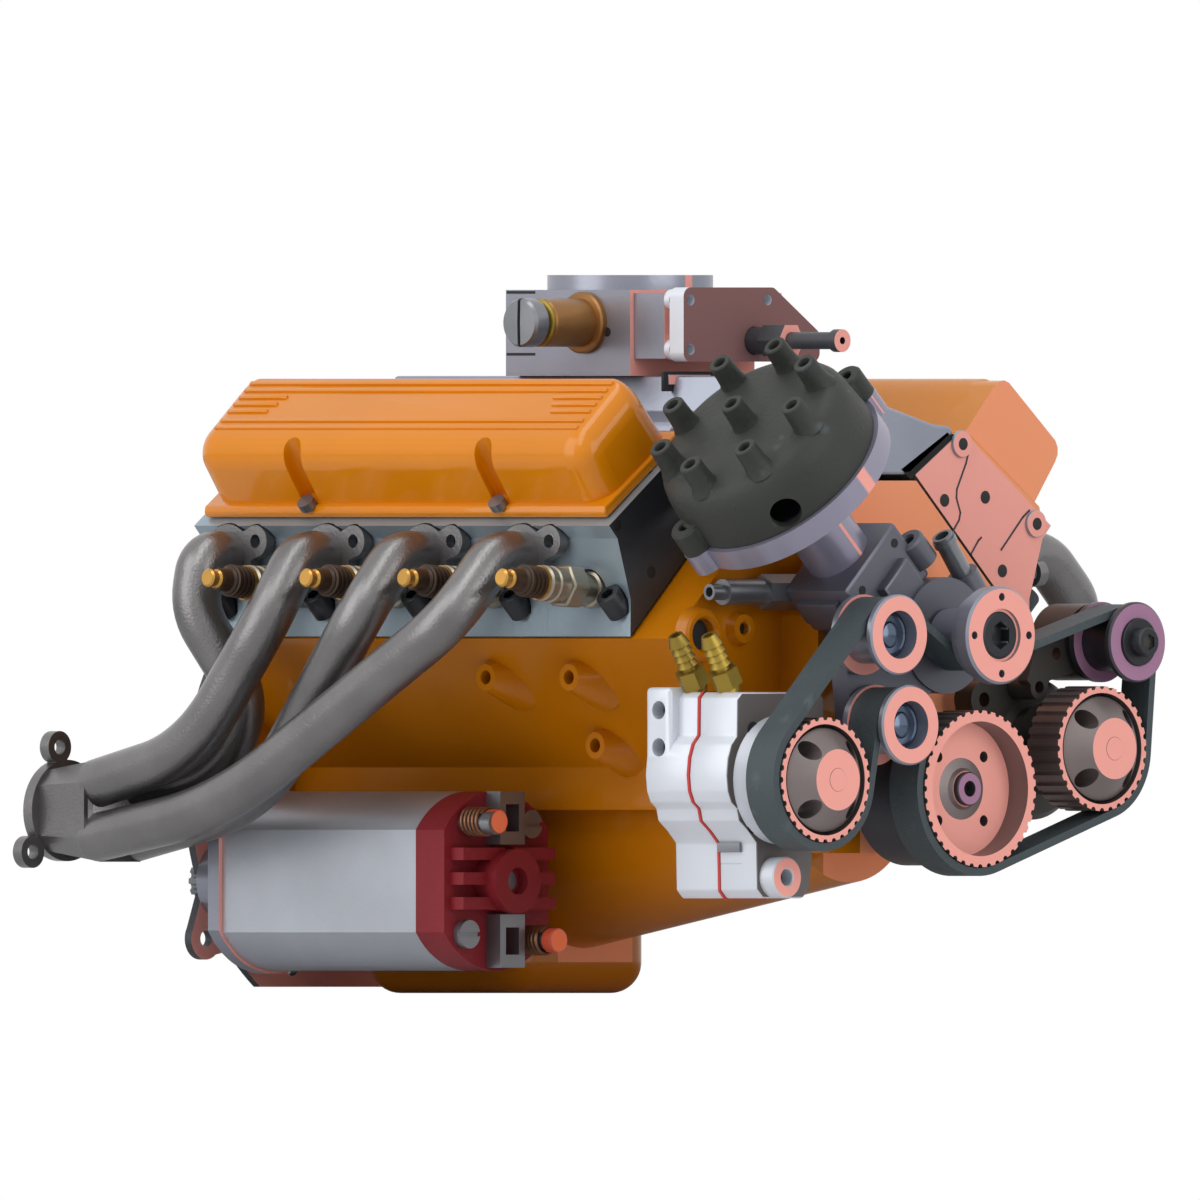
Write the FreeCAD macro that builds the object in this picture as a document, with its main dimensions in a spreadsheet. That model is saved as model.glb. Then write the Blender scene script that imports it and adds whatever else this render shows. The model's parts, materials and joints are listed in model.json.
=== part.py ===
"""A one-fifth scale V8 engine with its belt drive, starter, ignition, fuel and exhaust parts.

The frame: +Z is up, the crankshaft lies along Y with its nose towards -Y, and the origin is on the
crankshaft's axis at the block's rear face. The near bank leans towards -X and the far bank towards +X.
A bank piece is built upright, with its height above the crankshaft as Z, and then leaned into place.
"""
import FreeCAD, Part
import math
import os

import Sketcher

FRONT = (FreeCAD.Vector(1, 0, 0), 90)
SIDE = (FreeCAD.Vector(1, 1, 1), 120)
TOP = (FreeCAD.Vector(0, 0, 1), 0)
OUTWARD = {"front": FreeCAD.Vector(0, 1, 0), "side": FreeCAD.Vector(1, 0, 0), "top": FreeCAD.Vector(0, 0, 1)}
PLANES = {"front": FRONT, "side": SIDE, "top": TOP}
UPRIGHT_TO = {"X": ((0, 1, 0), "90"), "Y": ((1, 0, 0), "-90"), "Z": ((0, 0, 1), "0")}
LYING_TO = {"X": ((0, 0, 1), "-90"), "Y": ((0, 1, 0), "0"), "Z": ((1, 0, 0), "90")}
NEAR = "-1"
FAR = "1"
CYLINDERS = range(4)

SIZES = [
    # Block and crankshaft
    ("bank_angle", 45.0, "lean of each bank from upright"),
    ("deck_height", 46.0, "crankshaft axis to deck, along the bore"),
    ("deck_outer", 11.7, "deck edge outboard of the bores' line"),
    ("deck_inner", 13.5, "deck edge inboard of the bores' line"),
    ("valley_depth", 15.0, "valley wall below the deck"),
    ("valley_wall", 4.0, "wall across each end of the valley"),
    ("block_length", 110.6, "block, front face to rear face"),
    ("rail_half", 20.0, "half width of the pan rail"),
    ("rail_height", -1.8, "height of the pan rail"),
    ("bore_pitch", 22.35, "between neighbouring bores"),
    ("near_bore_start", -20.7, "rearmost bore of the near bank"),
    ("bank_offset", 8.9, "far bank ahead of the near bank"),
    ("bore_radius", 9.0, "inside of a sleeve"),
    ("sleeve_wall", 1.0, "wall of a sleeve"),
    ("sleeve_length", 30.0, "sleeve along the bore"),
    ("throw_radius", 7.2, "crank pin's offset, half the stroke"),
    ("pin_radius", 4.0, "crank pin"),
    ("journal_radius", 6.2, "main journal"),
    ("nose_radius", 4.5, "crankshaft nose"),
    ("running_gap", 0.05, "radial clearance of a turning fit"),
    ("web_thickness", 4.0, "main bearing web"),
    ("rear_main_place", -14.0, "rear main bearing's middle"),
    ("crankcase_radius", 17.0, "hollow round the crankshaft"),
    ("flange_half", 34.0, "half width of the block's rear flange"),
    ("flange_thickness", 4.0, "block's rear flange"),
    ("flange_top", 41.0, "top of the block's rear flange"),
    ("camshaft_height", 23.0, "camshaft axis above the crankshaft"),
    ("camshaft_radius", 3.0, "camshaft between its lobes"),
    ("cam_journal", 4.6, "camshaft journal"),
    ("lobe_lift", 1.2, "cam lobe above its base circle"),
    ("boss_radius", 4.2, "mount boss on the bank's side, at its foot"),
    ("boss_hole", 1.15, "tapped hole of a mount boss"),
    ("boss_reach", 4.0, "mount boss out of the bank's side"),
    ("circle_radius", 33.4, "bolt circle of the clutch housing"),
    ("circle_hole", 1.3, "hole of the clutch housing's bolt"),
    ("cap_half", 9.2, "half width of a main bearing cap"),
    ("cap_depth", 8.4, "main bearing cap below the crankshaft axis"),
    # Pistons and rods
    ("rod_length", 30.6, "connecting rod, centre to centre"),
    ("rod_width", 4.6, "connecting rod along the crank pin"),
    ("rod_eye", 3.4, "small end, outside"),
    ("rod_big", 5.6, "big end, outside"),
    ("wrist_radius", 1.9, "wrist pin"),
    ("wrist_half", 7.4, "half length of the wrist pin"),
    ("crown_height", 7.9, "wrist pin to piston crown"),
    ("skirt_depth", 6.5, "piston skirt below the wrist pin"),
    ("piston_gap", 0.08, "piston in its sleeve"),
    # Oil pan
    ("pan_flange", 1.6, "pan's flange"),
    ("pan_wall", 1.5, "wall of the pan"),
    ("trough_radius", 14.9, "round front trough"),
    ("trough_end_depth", 10.6, "fall of the trough at the sump"),
    ("sump_depth", -33.0, "floor of the sump"),
    ("sump_half", 16.0, "half width of the sump"),
    ("sump_front", -50.0, "front wall of the sump"),
    ("sump_rear", -14.0, "rear wall of the sump"),
    ("sump_round", 5.0, "corners of the sump"),
    # Heads and valve gear
    ("gasket", 0.5, "gasket thickness"),
    ("head_length", 94.8, "cylinder head"),
    ("near_head_rear", -6.9, "rear face of the near head"),
    ("rail_inner", 59.3, "valve cover rail at its inner edge"),
    ("rail_outer", 62.6, "valve cover rail at its outer edge"),
    ("head_inner", 25.2, "head's intake face inboard of the bores"),
    ("plug_forward", 5.6, "spark plug ahead of its bore"),
    ("plug_height", 32.1, "spark plug's seat, straight up"),
    ("plug_seat", 41.3, "spark plug's seat, sideways"),
    ("plug_tilt", 5.5, "spark plug's rise outwards"),
    ("plug_reach", 5.0, "spark plug's thread below its seat"),
    ("plug_thread", 1.9, "spark plug's thread radius"),
    ("port_back", 6.0, "exhaust port behind its bore"),
    ("port_height", 37.4, "exhaust port, straight up"),
    ("port_radius", 2.95, "port bore"),
    ("valve_in", 3.0, "valve inboard of the bore at the deck"),
    ("valve_spread", 4.3, "valve ahead of or behind its bore"),
    ("valve_tilt", 14.0, "valve stem from the bore's line"),
    ("valve_length", 18.8, "valve"),
    ("valve_head", 3.4, "valve head radius"),
    ("stem_radius", 0.8, "valve stem"),
    ("spring_outer", 2.3, "valve spring, outside"),
    ("spring_height", 5.0, "valve spring"),
    ("lifter_radius", 1.95, "lifter"),
    ("lifter_length", 7.0, "lifter"),
    ("pushrod_radius", 0.75, "pushrod"),
    ("pushrod_length", 33.2, "pushrod"),
    ("rocker_width", 3.0, "rocker arm"),
    ("bolt_out", 8.6, "outer head bolts outboard of the bores"),
    ("bolt_head", 2.1, "head bolt's cap"),
    ("bolt_sink", 49.0, "head bolt's seat"),
    # Valve covers
    ("cover_length", 91.5, "valve cover"),
    ("near_cover_rear", -8.5, "rear end of the near valve cover"),
    ("cover_round", 2.6, "rounding of the valve cover"),
    ("cover_wall", 1.2, "wall of the valve cover"),
    ("cover_top_outer", 74.7, "cover's outer top edge"),
    ("cover_top_inner", 72.8, "cover's inner top edge"),
    ("groove_spread", 21.8, "screw channel from the cover's middle"),
    ("groove_width", 3.6, "screw channel"),
    ("screw_head", 1.5, "cover screw's head"),
    # Exhaust
    ("tube_radius", 3.95, "exhaust tube, outside"),
    ("tube_wall", 0.9, "exhaust tube's wall"),
    ("ear_thickness", 1.8, "exhaust flange at the head"),
    ("ear_hole", 1.1, "hole of the exhaust flange"),
    ("collector_out", 54.0, "collector, sideways"),
    ("collector_height", -3.5, "collector's height"),
    ("collector_start", 2.0, "front of the collector"),
    ("collector_length", 12.0, "collector"),
    ("outlet_radius", 6.6, "collector's outlet"),
    ("outlet_flange", 2.0, "outlet flange thickness"),
    ("outlet_circle", 10.4, "outlet flange's hole circle"),
    ("outlet_hole", 1.2, "outlet flange's hole"),
    # Induction
    ("plenum_top", 66.7, "top of the intake manifold"),
    ("intake_notch", 6.4, "intake manifold's near end behind the distributor"),
    ("notch_side", 14.0, "the distributor's room in the intake, sideways"),
    ("plenum_half", 12.5, "half width of the plenum"),
    ("intake_rear", -18.0, "rear end of the intake manifold"),
    ("intake_length", 92.4, "intake manifold"),
    ("throttle_place", -60.5, "throttle's middle"),
    ("throttle_half", 14.2, "half width of the throttle body"),
    ("throttle_base", 2.3, "throttle body's foot"),
    ("throttle_top", 80.6, "top of the square throttle body"),
    ("throttle_ring", 13.4, "round top of the throttle body"),
    ("throttle_ring_top", 83.0, "top of the round part"),
    ("throttle_bore", 9.5, "throttle bore"),
    ("throttle_shaft", 1.2, "throttle shaft"),
    ("shaft_height", 75.3, "throttle shaft's height"),
    ("valve_half_length", 7.0, "front block of the throttle body"),
    ("sensor_gap", 1.2, "sensor plate ahead of the front block"),
    ("sensor_plate", 3.2, "sensor plate"),
    ("idle_radius", 3.9, "brass idle tube"),
    ("idle_reach", 9.5, "brass idle tube out of the body"),
    ("idle_forward", 3.9, "idle tube ahead of the throttle's middle"),
    ("nozzle_radius", 1.4, "hose nozzle"),
    ("nozzle_height", 72.4, "hose nozzle's height"),
    ("nozzle_side", 2.8, "hose nozzle to the far side"),
    ("nozzle_tip", -106.2, "hose nozzle's tip"),
    ("nozzle_hex", 2.9, "hose nozzle's hexagon"),
    # Timing cover and distributor
    ("cover_depth", 8.4, "timing cover ahead of the block"),
    ("chain_width", 3.0, "timing chain"),
    ("crank_sprocket", 5.6, "crankshaft sprocket"),
    ("cam_sprocket", 11.2, "camshaft sprocket"),
    ("chain_thickness", 1.4, "timing chain's height"),
    ("chain_clearance", 0.3, "chain above its sprocket"),
    ("drive_place", -122.8, "distributor's axis along the engine"),
    ("ring_start", 36.0, "clamp ring's foot along the distributor"),
    ("ring_height", 4.0, "clamp ring"),
    ("ring_radius", 18.5, "clamp ring"),
    ("cap_radius", 17.8, "distributor cap at its base"),
    ("cap_top", 50.5, "distributor cap's top"),
    ("cap_wall", 1.6, "distributor cap's wall"),
    ("tower_circle", 14.0, "plug towers' circle"),
    ("tower_tip", 55.3, "plug towers' tips"),
    ("tower_radius", 1.95, "plug tower"),
    ("tower_bore", 0.8, "plug tower's socket"),
    ("lug_circle", 18.4, "cap's clamp lugs"),
    ("lug_turn", 20.0, "clamp lugs from the lean direction"),
    ("lug_radius", 2.6, "clamp lug"),
    ("stem_outer", 5.4, "distributor's stem"),
    ("foot_radius", 7.0, "distributor's foot"),
    ("foot_start", 15.0, "distributor's foot along its axis"),
    ("rotor_radius", 12.6, "rotor arm's reach"),
    ("drive_shaft", 2.0, "distributor shaft"),
    # Belt drive
    ("pulley_front", -140.5, "front of the toothed pulleys"),
    ("pulley_width", 7.0, "toothed pulleys"),
    ("crank_teeth", 40.0, "teeth of the crankshaft pulley"),
    ("small_teeth", 32.0, "teeth of the other pulleys"),
    ("crank_pulley_radius", 12.68, "crankshaft pulley over its teeth"),
    ("small_pulley_radius", 10.1, "other pulleys over their teeth"),
    ("spoke_circle", 6.7, "circle of the holes through a small pulley"),
    ("spoke_hole", 1.55, "hole through a small pulley"),
    ("tooth_gap", 0.5, "radius of a tooth gap"),
    ("damper_radius", 12.4, "damper drum"),
    ("damper_length", 9.8, "damper drum"),
    ("accessory_side", 27.8, "accessory pulley, sideways"),
    ("accessory_height", 6.5, "accessory pulley, up"),
    ("oil_side", -35.4, "oil pump pulley, sideways"),
    ("oil_height", 1.45, "oil pump pulley, up"),
    ("upper_side", -19.7, "upper idler, sideways"),
    ("upper_height", 24.9, "upper idler, up"),
    ("lower_side", -17.1, "lower idler, sideways"),
    ("lower_height", 10.3, "lower idler, up"),
    ("tension_side", 34.7, "tensioner idler, sideways"),
    ("tension_height", 23.7, "tensioner idler, up"),
    ("water_height", 24.8, "water pump, up"),
    ("idler_flange", 6.5, "idler's flange"),
    ("idler_drum", 4.7, "idler's drum"),
    ("idler_bore", 3.9, "idler's bore"),
    ("idler_front", -141.8, "front of the idlers"),
    ("idler_rim", 1.1, "idler's flange thickness"),
    ("water_drum", 4.3, "water pump's belt drum"),
    ("water_flange", 7.93, "water pump's hub flange"),
    ("water_front", -145.4, "front of the water pump's hub"),
    ("belt_width", 6.35, "belt"),
    ("belt_thickness", 1.3, "belt"),
    ("belt_gap", 0.12, "belt from a pulley"),
    ("post_radius", 3.2, "idler's post"),
    # Pumps and accessories
    ("water_body", 9.4, "water pump's body"),
    ("water_body_rear", -128.4, "back of the water pump's body"),
    ("arm_front", -132.2, "idlers' arm on the water pump"),
    ("water_body_front", -132.7, "front of the water pump's body"),
    ("spout_side", 6.1, "coolant spout, sideways"),
    ("spout_place", -130.5, "coolant spout, along the engine"),
    ("spout_height", 34.4, "coolant spout, up"),
    ("nipple_place", -114.0, "near hose nipple, along the engine"),
    ("nipple_height", 31.8, "near hose nipple, up"),
    ("nipple_radius", 1.7, "coolant nipple"),
    ("oil_rear", -113.9, "rear face of the oil pump"),
    ("oil_split", -121.3, "joint of the oil pump's halves"),
    ("oil_front", -129.7, "front face of the oil pump"),
    ("oil_gasket", 0.5, "oil pump's gasket"),
    ("oil_gear", 5.6, "oil pump gear over its teeth"),
    ("oil_gear_teeth", 10.0, "oil pump gear's teeth"),
    ("oil_gear_distance", 10.9, "between the oil pump's gears"),
    ("oil_gear_gap", 1.0, "radius of an oil pump gear's tooth gap"),
    ("oil_gear_length", 5.0, "oil pump gear"),
    ("oil_bulge", 11.6, "oil pump's round body"),
    ("barb_radius", 1.5, "barbed nipple"),
    ("barb_lean", 30.0, "barbed nipple's lean"),
    ("accessory_body", 11.5, "accessory drive's body"),
    ("accessory_front", -128.0, "front of the accessory drive"),
    ("accessory_length", 17.35, "accessory drive"),
    ("barrel_radius", 6.2, "tensioner's spring barrel"),
    ("barrel_length", 8.0, "tensioner's spring barrel"),
    ("bracket_thickness", 2.2, "tensioner's arm"),
    # Starter and flywheel
    ("starter_side", -32.2, "starter, sideways"),
    ("starter_height", -14.9, "starter, up"),
    ("starter_radius", 14.5, "starter can"),
    ("starter_flat", 11.9, "flat of the starter can"),
    ("starter_front", -55.6, "front of the starter can"),
    ("starter_length", 44.2, "starter can"),
    ("starter_wall", 1.0, "starter can's wall"),
    ("starter_plate", 2.5, "starter's mounting plate"),
    ("bell_length", 6.5, "starter's end bell"),
    ("bell_boss", 5.2, "end bell's bearing boss"),
    ("bell_boss_reach", 5.0, "bearing boss ahead of the bell"),
    ("motor_shaft", 1.6, "starter's shaft"),
    ("pinion_radius", 3.9, "starter pinion"),
    ("pinion_teeth", 13.0, "starter pinion's teeth"),
    ("rear_plate", 1.5, "engine's rear plate"),
    ("plate_round", 40.0, "round top of the rear plate"),
    ("ear_side", -36.4, "rear plate's ear, sideways"),
    ("ear_height", -24.2, "rear plate's ear, up"),
    ("flywheel_radius", 31.4, "flywheel"),
    ("flywheel_place", 5.0, "flywheel's front face"),
    ("flywheel_thickness", 3.0, "flywheel"),
    ("flywheel_teeth", 102.0, "flywheel's teeth"),
    ("flywheel_gap", 0.5, "radius of a flywheel tooth gap"),
    ("seat_gap", 0.05, "clearance between pieces that don't move"),
]

document = FreeCAD.newDocument("engine")
sheet = document.addObject("Spreadsheet::Sheet", "size")
SIZE = {}
for row, (alias, value, meaning) in enumerate(SIZES, start=1):
    sheet.set("A%d" % row, alias)
    sheet.set("B%d" % row, str(value))
    sheet.set("C%d" % row, meaning)
    sheet.setAlias("B%d" % row, alias)
    SIZE[alias] = value
document.recompute()
kept = []


# Helpers that make bound objects

def bind(item, **expressions):
    """Bind properties of an object to expressions over the sheet."""
    for name, expression in expressions.items():
        item.setExpression(name, expression)
    return item


def place(item, x="0", y="0", z="0", turn=None):
    """Bind an object's place, and turn it about an axis by an expression in degrees."""
    if turn:
        axis, angle = turn
        item.Placement = FreeCAD.Placement(FreeCAD.Vector(), FreeCAD.Rotation(FreeCAD.Vector(*axis), 1))
        item.setExpression("Placement.Rotation.Angle", angle)
    for letter, expression in zip("xyz", (x, y, z)):
        item.setExpression("Placement.Base." + letter, expression)
    return item


def lean(side):
    """The turn that leans an upright bank piece to its side."""
    return ((0, 1, 0), "%s * size.bank_angle" % side)


def outline(points, plane, start):
    """A closed sketch whose corners are bound to expressions, in one of the three main planes."""
    sketch = document.addObject("Sketcher::SketchObject", "outline")
    axis, angle = PLANES[plane]
    sketch.Placement = FreeCAD.Placement(FreeCAD.Vector(), FreeCAD.Rotation(axis, angle))
    letter = {"front": "y", "side": "x", "top": "z"}[plane]
    sketch.setExpression("Placement.Base." + letter, start)
    count = len(points)
    corners = []
    for number in range(count):
        angle = 2 * math.pi * number / count
        corners.append(FreeCAD.Vector(math.cos(angle), math.sin(angle), 0))
    for number in range(count):
        sketch.addGeometry(Part.LineSegment(corners[number], corners[(number + 1) % count]))
    for number in range(count):
        sketch.addConstraint(Sketcher.Constraint("Coincident", number, 2, (number + 1) % count, 1))
    for number, pair in enumerate(points):
        for kind, expression, value in zip(("DistanceX", "DistanceY"), pair, corners[number]):
            index = sketch.addConstraint(Sketcher.Constraint(kind, -1, 1, number, 1, value))
            sketch.setExpression("Constraints[%d]" % index, expression)
    return sketch


def prism(points, plane, start, length):
    """An outline in a main plane, extruded across it from a start."""
    solid = document.addObject("Part::Extrusion", "prism")
    solid.Base = outline(points, plane, start)
    solid.DirMode = "Custom"
    solid.Dir = OUTWARD[plane]
    solid.Solid = True
    return bind(solid, LengthFwd=length)


def turned(points, x="0", y="0", z="0", along="Y"):
    """A profile of (radius, distance) corners turned about an axis."""
    solid = document.addObject("Part::Revolution", "turned")
    solid.Source = outline(points, "top", "0")
    solid.Axis = FreeCAD.Vector(0, 1, 0)
    solid.Base = FreeCAD.Vector()
    solid.Angle = 360
    solid.Solid = True
    turn = LYING_TO[along] if isinstance(along, str) else along
    return place(solid, x, y, z, turn)


def rod(radius, length, x="0", y="0", z="0", along="Y"):
    """A round bar that starts at a place and runs along an axis."""
    solid = bind(document.addObject("Part::Cylinder", "rod"), Radius=radius, Height=length)
    turn = UPRIGHT_TO[along] if isinstance(along, str) else along
    return place(solid, x, y, z, turn)


def block(length, width, height, x="0", y="0", z="0", turn=None):
    """A box from its lowest corner."""
    solid = bind(document.addObject("Part::Box", "block"), Length=length, Width=width, Height=height)
    return place(solid, x, y, z, turn)


def hexagon(radius, length, x="0", y="0", z="0", along="Y"):
    """A hexagonal bar, its radius over the corners."""
    solid = document.addObject("Part::Prism", "hexagon")
    bind(solid, Circumradius=radius, Height=length)
    turn = UPRIGHT_TO[along] if isinstance(along, str) else along
    return place(solid, x, y, z, turn)


def fused(*pieces):
    """One solid from several."""
    if len(pieces) == 1:
        return pieces[0]
    solid = document.addObject("Part::MultiFuse", "fused")
    solid.Shapes = list(pieces)
    return solid


def less(base, *tools):
    """A solid with others cut from it."""
    solid = document.addObject("Part::Cut", "less")
    solid.Base = base
    solid.Tool = tools[0] if len(tools) == 1 else fused(*tools)
    return solid


def group(pieces):
    """Several separate solids as one object."""
    bundle = document.addObject("Part::Compound", "group")
    bundle.Links = list(pieces)
    return bundle


def copy_of(piece, x="0", y="0", z="0", turn=None):
    """Another copy of a piece in its own place."""
    return place(group([piece]), x, y, z, turn)


def smooth(base, radius, chosen):
    """Fillet the edges that a test picks."""
    document.recompute()
    solid = document.addObject("Part::Fillet", "smooth")
    solid.Base = base
    solid.Edges = [(number, radius, radius) for number, edge in enumerate(base.Shape.Edges, start=1)
                   if chosen(edge)]
    return solid


def keep(item, label):
    """Name a finished sub-part, whose label names its file."""
    item.Label = label
    kept.append(item)
    return item


def bore_place(side, number):
    """Where a bore lies along the engine."""
    offset = " - size.bank_offset" if side == FAR else ""
    return "(size.near_bore_start - %d * size.bore_pitch%s)" % (number, offset)


def main_place(number):
    """Where a main bearing's middle lies along the engine."""
    return "(size.rear_main_place - %d * size.bore_pitch)" % number


def across(distance, height):
    """Sideways and upward place of a point given by its place in a bank's own frame."""
    sideways = "((%s) * sin(size.bank_angle) + (%s) * cos(size.bank_angle))" % (height, distance)
    upward = "((%s) * cos(size.bank_angle) - (%s) * sin(size.bank_angle))" % (height, distance)
    return sideways, upward


def both_sides(points):
    """A half outline, from its lowest point to its highest, completed by its mirror image."""
    mirrored = [("-1 * (%s)" % x, z) for x, z in reversed(points)]
    return list(points) + mirrored


# Block, crankshaft and pistons

def cylinder_block():
    deck_out = across("size.deck_outer", "size.deck_height")
    deck_in = across("-size.deck_inner", "size.deck_height")
    valley = across("-size.deck_inner", "size.deck_height - size.valley_depth")
    half = [("size.rail_half", "size.rail_height"),
            ("size.rail_half", "size.rail_half - size.deck_outer * sqrt(2)"),
            deck_out, deck_in, valley]
    body = prism(both_sides(half), "front", "-size.block_length", "size.block_length")
    flange_half = [("size.rail_half", "size.rail_height"), ("size.flange_half", "size.rail_half / 2"),
                   ("size.flange_half", "size.flange_top - size.flange_half / 4"),
                   ("size.flange_half * 0.75", "size.flange_top"),
                   ("size.flange_half * 0.3", "size.flange_top")]
    flange = prism(both_sides(flange_half), "front", "-size.flange_thickness", "size.flange_thickness")
    wall_top = across("-size.head_inner + 0.8", "size.deck_height")
    wall_half = [valley, deck_in, wall_top]
    walls = [prism(both_sides(wall_half), "front", start, "size.valley_wall")
             for start in ("-size.block_length", "-3 * size.valley_wall")]
    pieces = [body, flange] + walls
    cuts = [rod("size.cam_journal + size.running_gap", "size.block_length - 2", "0", "-size.block_length - 1",
                "size.camshaft_height"),
            rod("size.journal_radius + size.running_gap", "size.block_length + 2", "0",
                "-size.block_length - 1"),
            block("2 * size.cap_half + 2 * size.seat_gap", "4 * size.bore_pitch + size.web_thickness",
                  "-1 * size.rail_height", "-size.cap_half - size.seat_gap",
                  main_place(4) + " - size.web_thickness / 2", "size.rail_height")]
    for number in CYLINDERS:
        start = "(%s + size.web_thickness / 2)" % main_place(number + 1)
        length = "(size.bore_pitch - size.web_thickness)"
        cuts.append(rod("size.crankcase_radius", length, "0", start))
        cuts.append(block("2 * size.crankcase_radius", length, "-2 * size.rail_height",
                          "-size.crankcase_radius", start, "2 * size.rail_height"))
        for side in (NEAR, FAR):
            foot = across("0", "size.deck_height - size.sleeve_length - 1")
            cuts.append(rod("size.bore_radius + size.sleeve_wall", "size.sleeve_length + 3",
                            "%s * %s" % (side, foot[0]), bore_place(side, number), foot[1], lean(side)))
            for offset in ("size.valve_spread", "-size.valve_spread"):
                cuts.append(rod("size.lifter_radius + size.seat_gap", "4 * size.lifter_length",
                                "0", bore_place(side, number) + " + " + offset, "size.camshaft_height",
                                lean(side)))
    for side in (NEAR, FAR):
        for along, up in (("-66", "18"), ("-85", "18"), ("-80", "7")):
            outboard = "(%s + size.deck_outer * sqrt(2))" % up
            slope = ((0, 1, 0), "%s * 90" % side)
            root = "%s * (%s - size.boss_radius)" % (side, outboard)
            boss = place(document.addObject("Part::Cone", "boss"), root, along, up, slope)
            bind(boss, Radius1="size.boss_radius + 1.2", Radius2="size.boss_hole + 1",
                 Height="size.boss_reach + size.boss_radius")
            pieces.append(boss)
            cuts.append(rod("size.boss_hole", "size.boss_reach + 3", "%s * (%s - 1)" % (side, outboard),
                            along, up, slope))
    for number in range(6):
        angle = "%d * 60" % number
        cuts.append(rod("size.circle_hole", "3 * size.flange_thickness",
                        "size.circle_radius * cos(%s)" % angle, "-2 * size.flange_thickness",
                        "size.circle_radius * sin(%s)" % angle))
    keep(less(fused(*pieces), *cuts), "cylinder_block")


def cylinder_sleeves():
    sleeve = turned([("size.bore_radius", "0"), ("size.bore_radius + size.sleeve_wall - size.seat_gap", "0"),
                     ("size.bore_radius + size.sleeve_wall - size.seat_gap", "size.sleeve_length"),
                     ("size.bore_radius", "size.sleeve_length")], along="Z")
    foot = across("0", "size.deck_height - size.sleeve_length")
    copies = [copy_of(sleeve, "%s * %s" % (side, foot[0]), bore_place(side, number), foot[1], lean(side))
              for side in (NEAR, FAR) for number in CYLINDERS]
    keep(group(copies), "cylinder_sleeves")


def main_bearing_caps():
    bearing_cap = less(block("2 * size.cap_half", "size.web_thickness - 2 * size.seat_gap", "size.cap_depth",
                             "-size.cap_half", "-size.web_thickness / 2 + size.seat_gap", "-size.cap_depth"),
                       rod("size.journal_radius + size.running_gap", "2 * size.web_thickness",
                           "0", "-size.web_thickness"))
    keep(group([copy_of(bearing_cap, "0", main_place(number)) for number in range(5)]), "main_bearing_caps")


def crank_throws():
    """The crankshaft between its end journals, held at rest with its counterweights."""
    pieces = []
    pin_turns = (0, 90, 270, 180)
    cheek = "((size.bore_pitch - size.web_thickness - 3 * size.rod_width) / 2 - 0.1)"
    for number in range(1, 4):
        pieces.append(rod("size.journal_radius", "size.web_thickness + 0.2", "0",
                          main_place(number) + " - size.web_thickness / 2 - 0.1"))
    for number, turn in zip(CYLINDERS, pin_turns):
        start = "(%s + size.web_thickness / 2 + 0.1)" % main_place(number + 1)
        end = "(%s - size.web_thickness / 2 - 0.1)" % main_place(number)
        sideways = "size.throw_radius * sin(%d)" % turn
        upward = "size.throw_radius * cos(%d)" % turn
        pieces.append(rod("size.pin_radius", "%s - %s" % (end, start), sideways, start, upward))
        for place_along in (start, "%s - %s" % (end, cheek)):
            weight = less(rod("size.trough_radius - size.pan_wall - 1.6", cheek), block(
                "3 * size.crankcase_radius", "2 * size.crankcase_radius", "size.crankcase_radius",
                "-1.5 * size.crankcase_radius", "-size.crankcase_radius", "2"))
            arm = fused(weight, rod("size.pin_radius + 1.4", cheek, "0", "0", "size.throw_radius"),
                        block("2 * size.pin_radius + 1", cheek, "size.throw_radius",
                              "-size.pin_radius - 0.5"))
            pieces.append(copy_of(arm, "0", place_along, "0", ((0, 1, 0), str(turn))))
    keep(fused(*pieces), "crank_throws")


def crank_reach(side, turn):
    """How far up its own bore a piston's wrist pin stands, with the crank pin turned so far."""
    angle = "(%d - %s * size.bank_angle)" % (turn, side)
    return "(size.throw_radius * cos(%s) + sqrt(size.rod_length ^ 2 - (size.throw_radius * sin(%s)) ^ 2))" % (
        angle, angle)


def rod_lean(side, turn):
    """A rod's lean from its own bore, in degrees."""
    return "asin(size.throw_radius * sin(%d - %s * size.bank_angle) / size.rod_length) / (1 deg)" % (turn,
                                                                                                     side)


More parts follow.
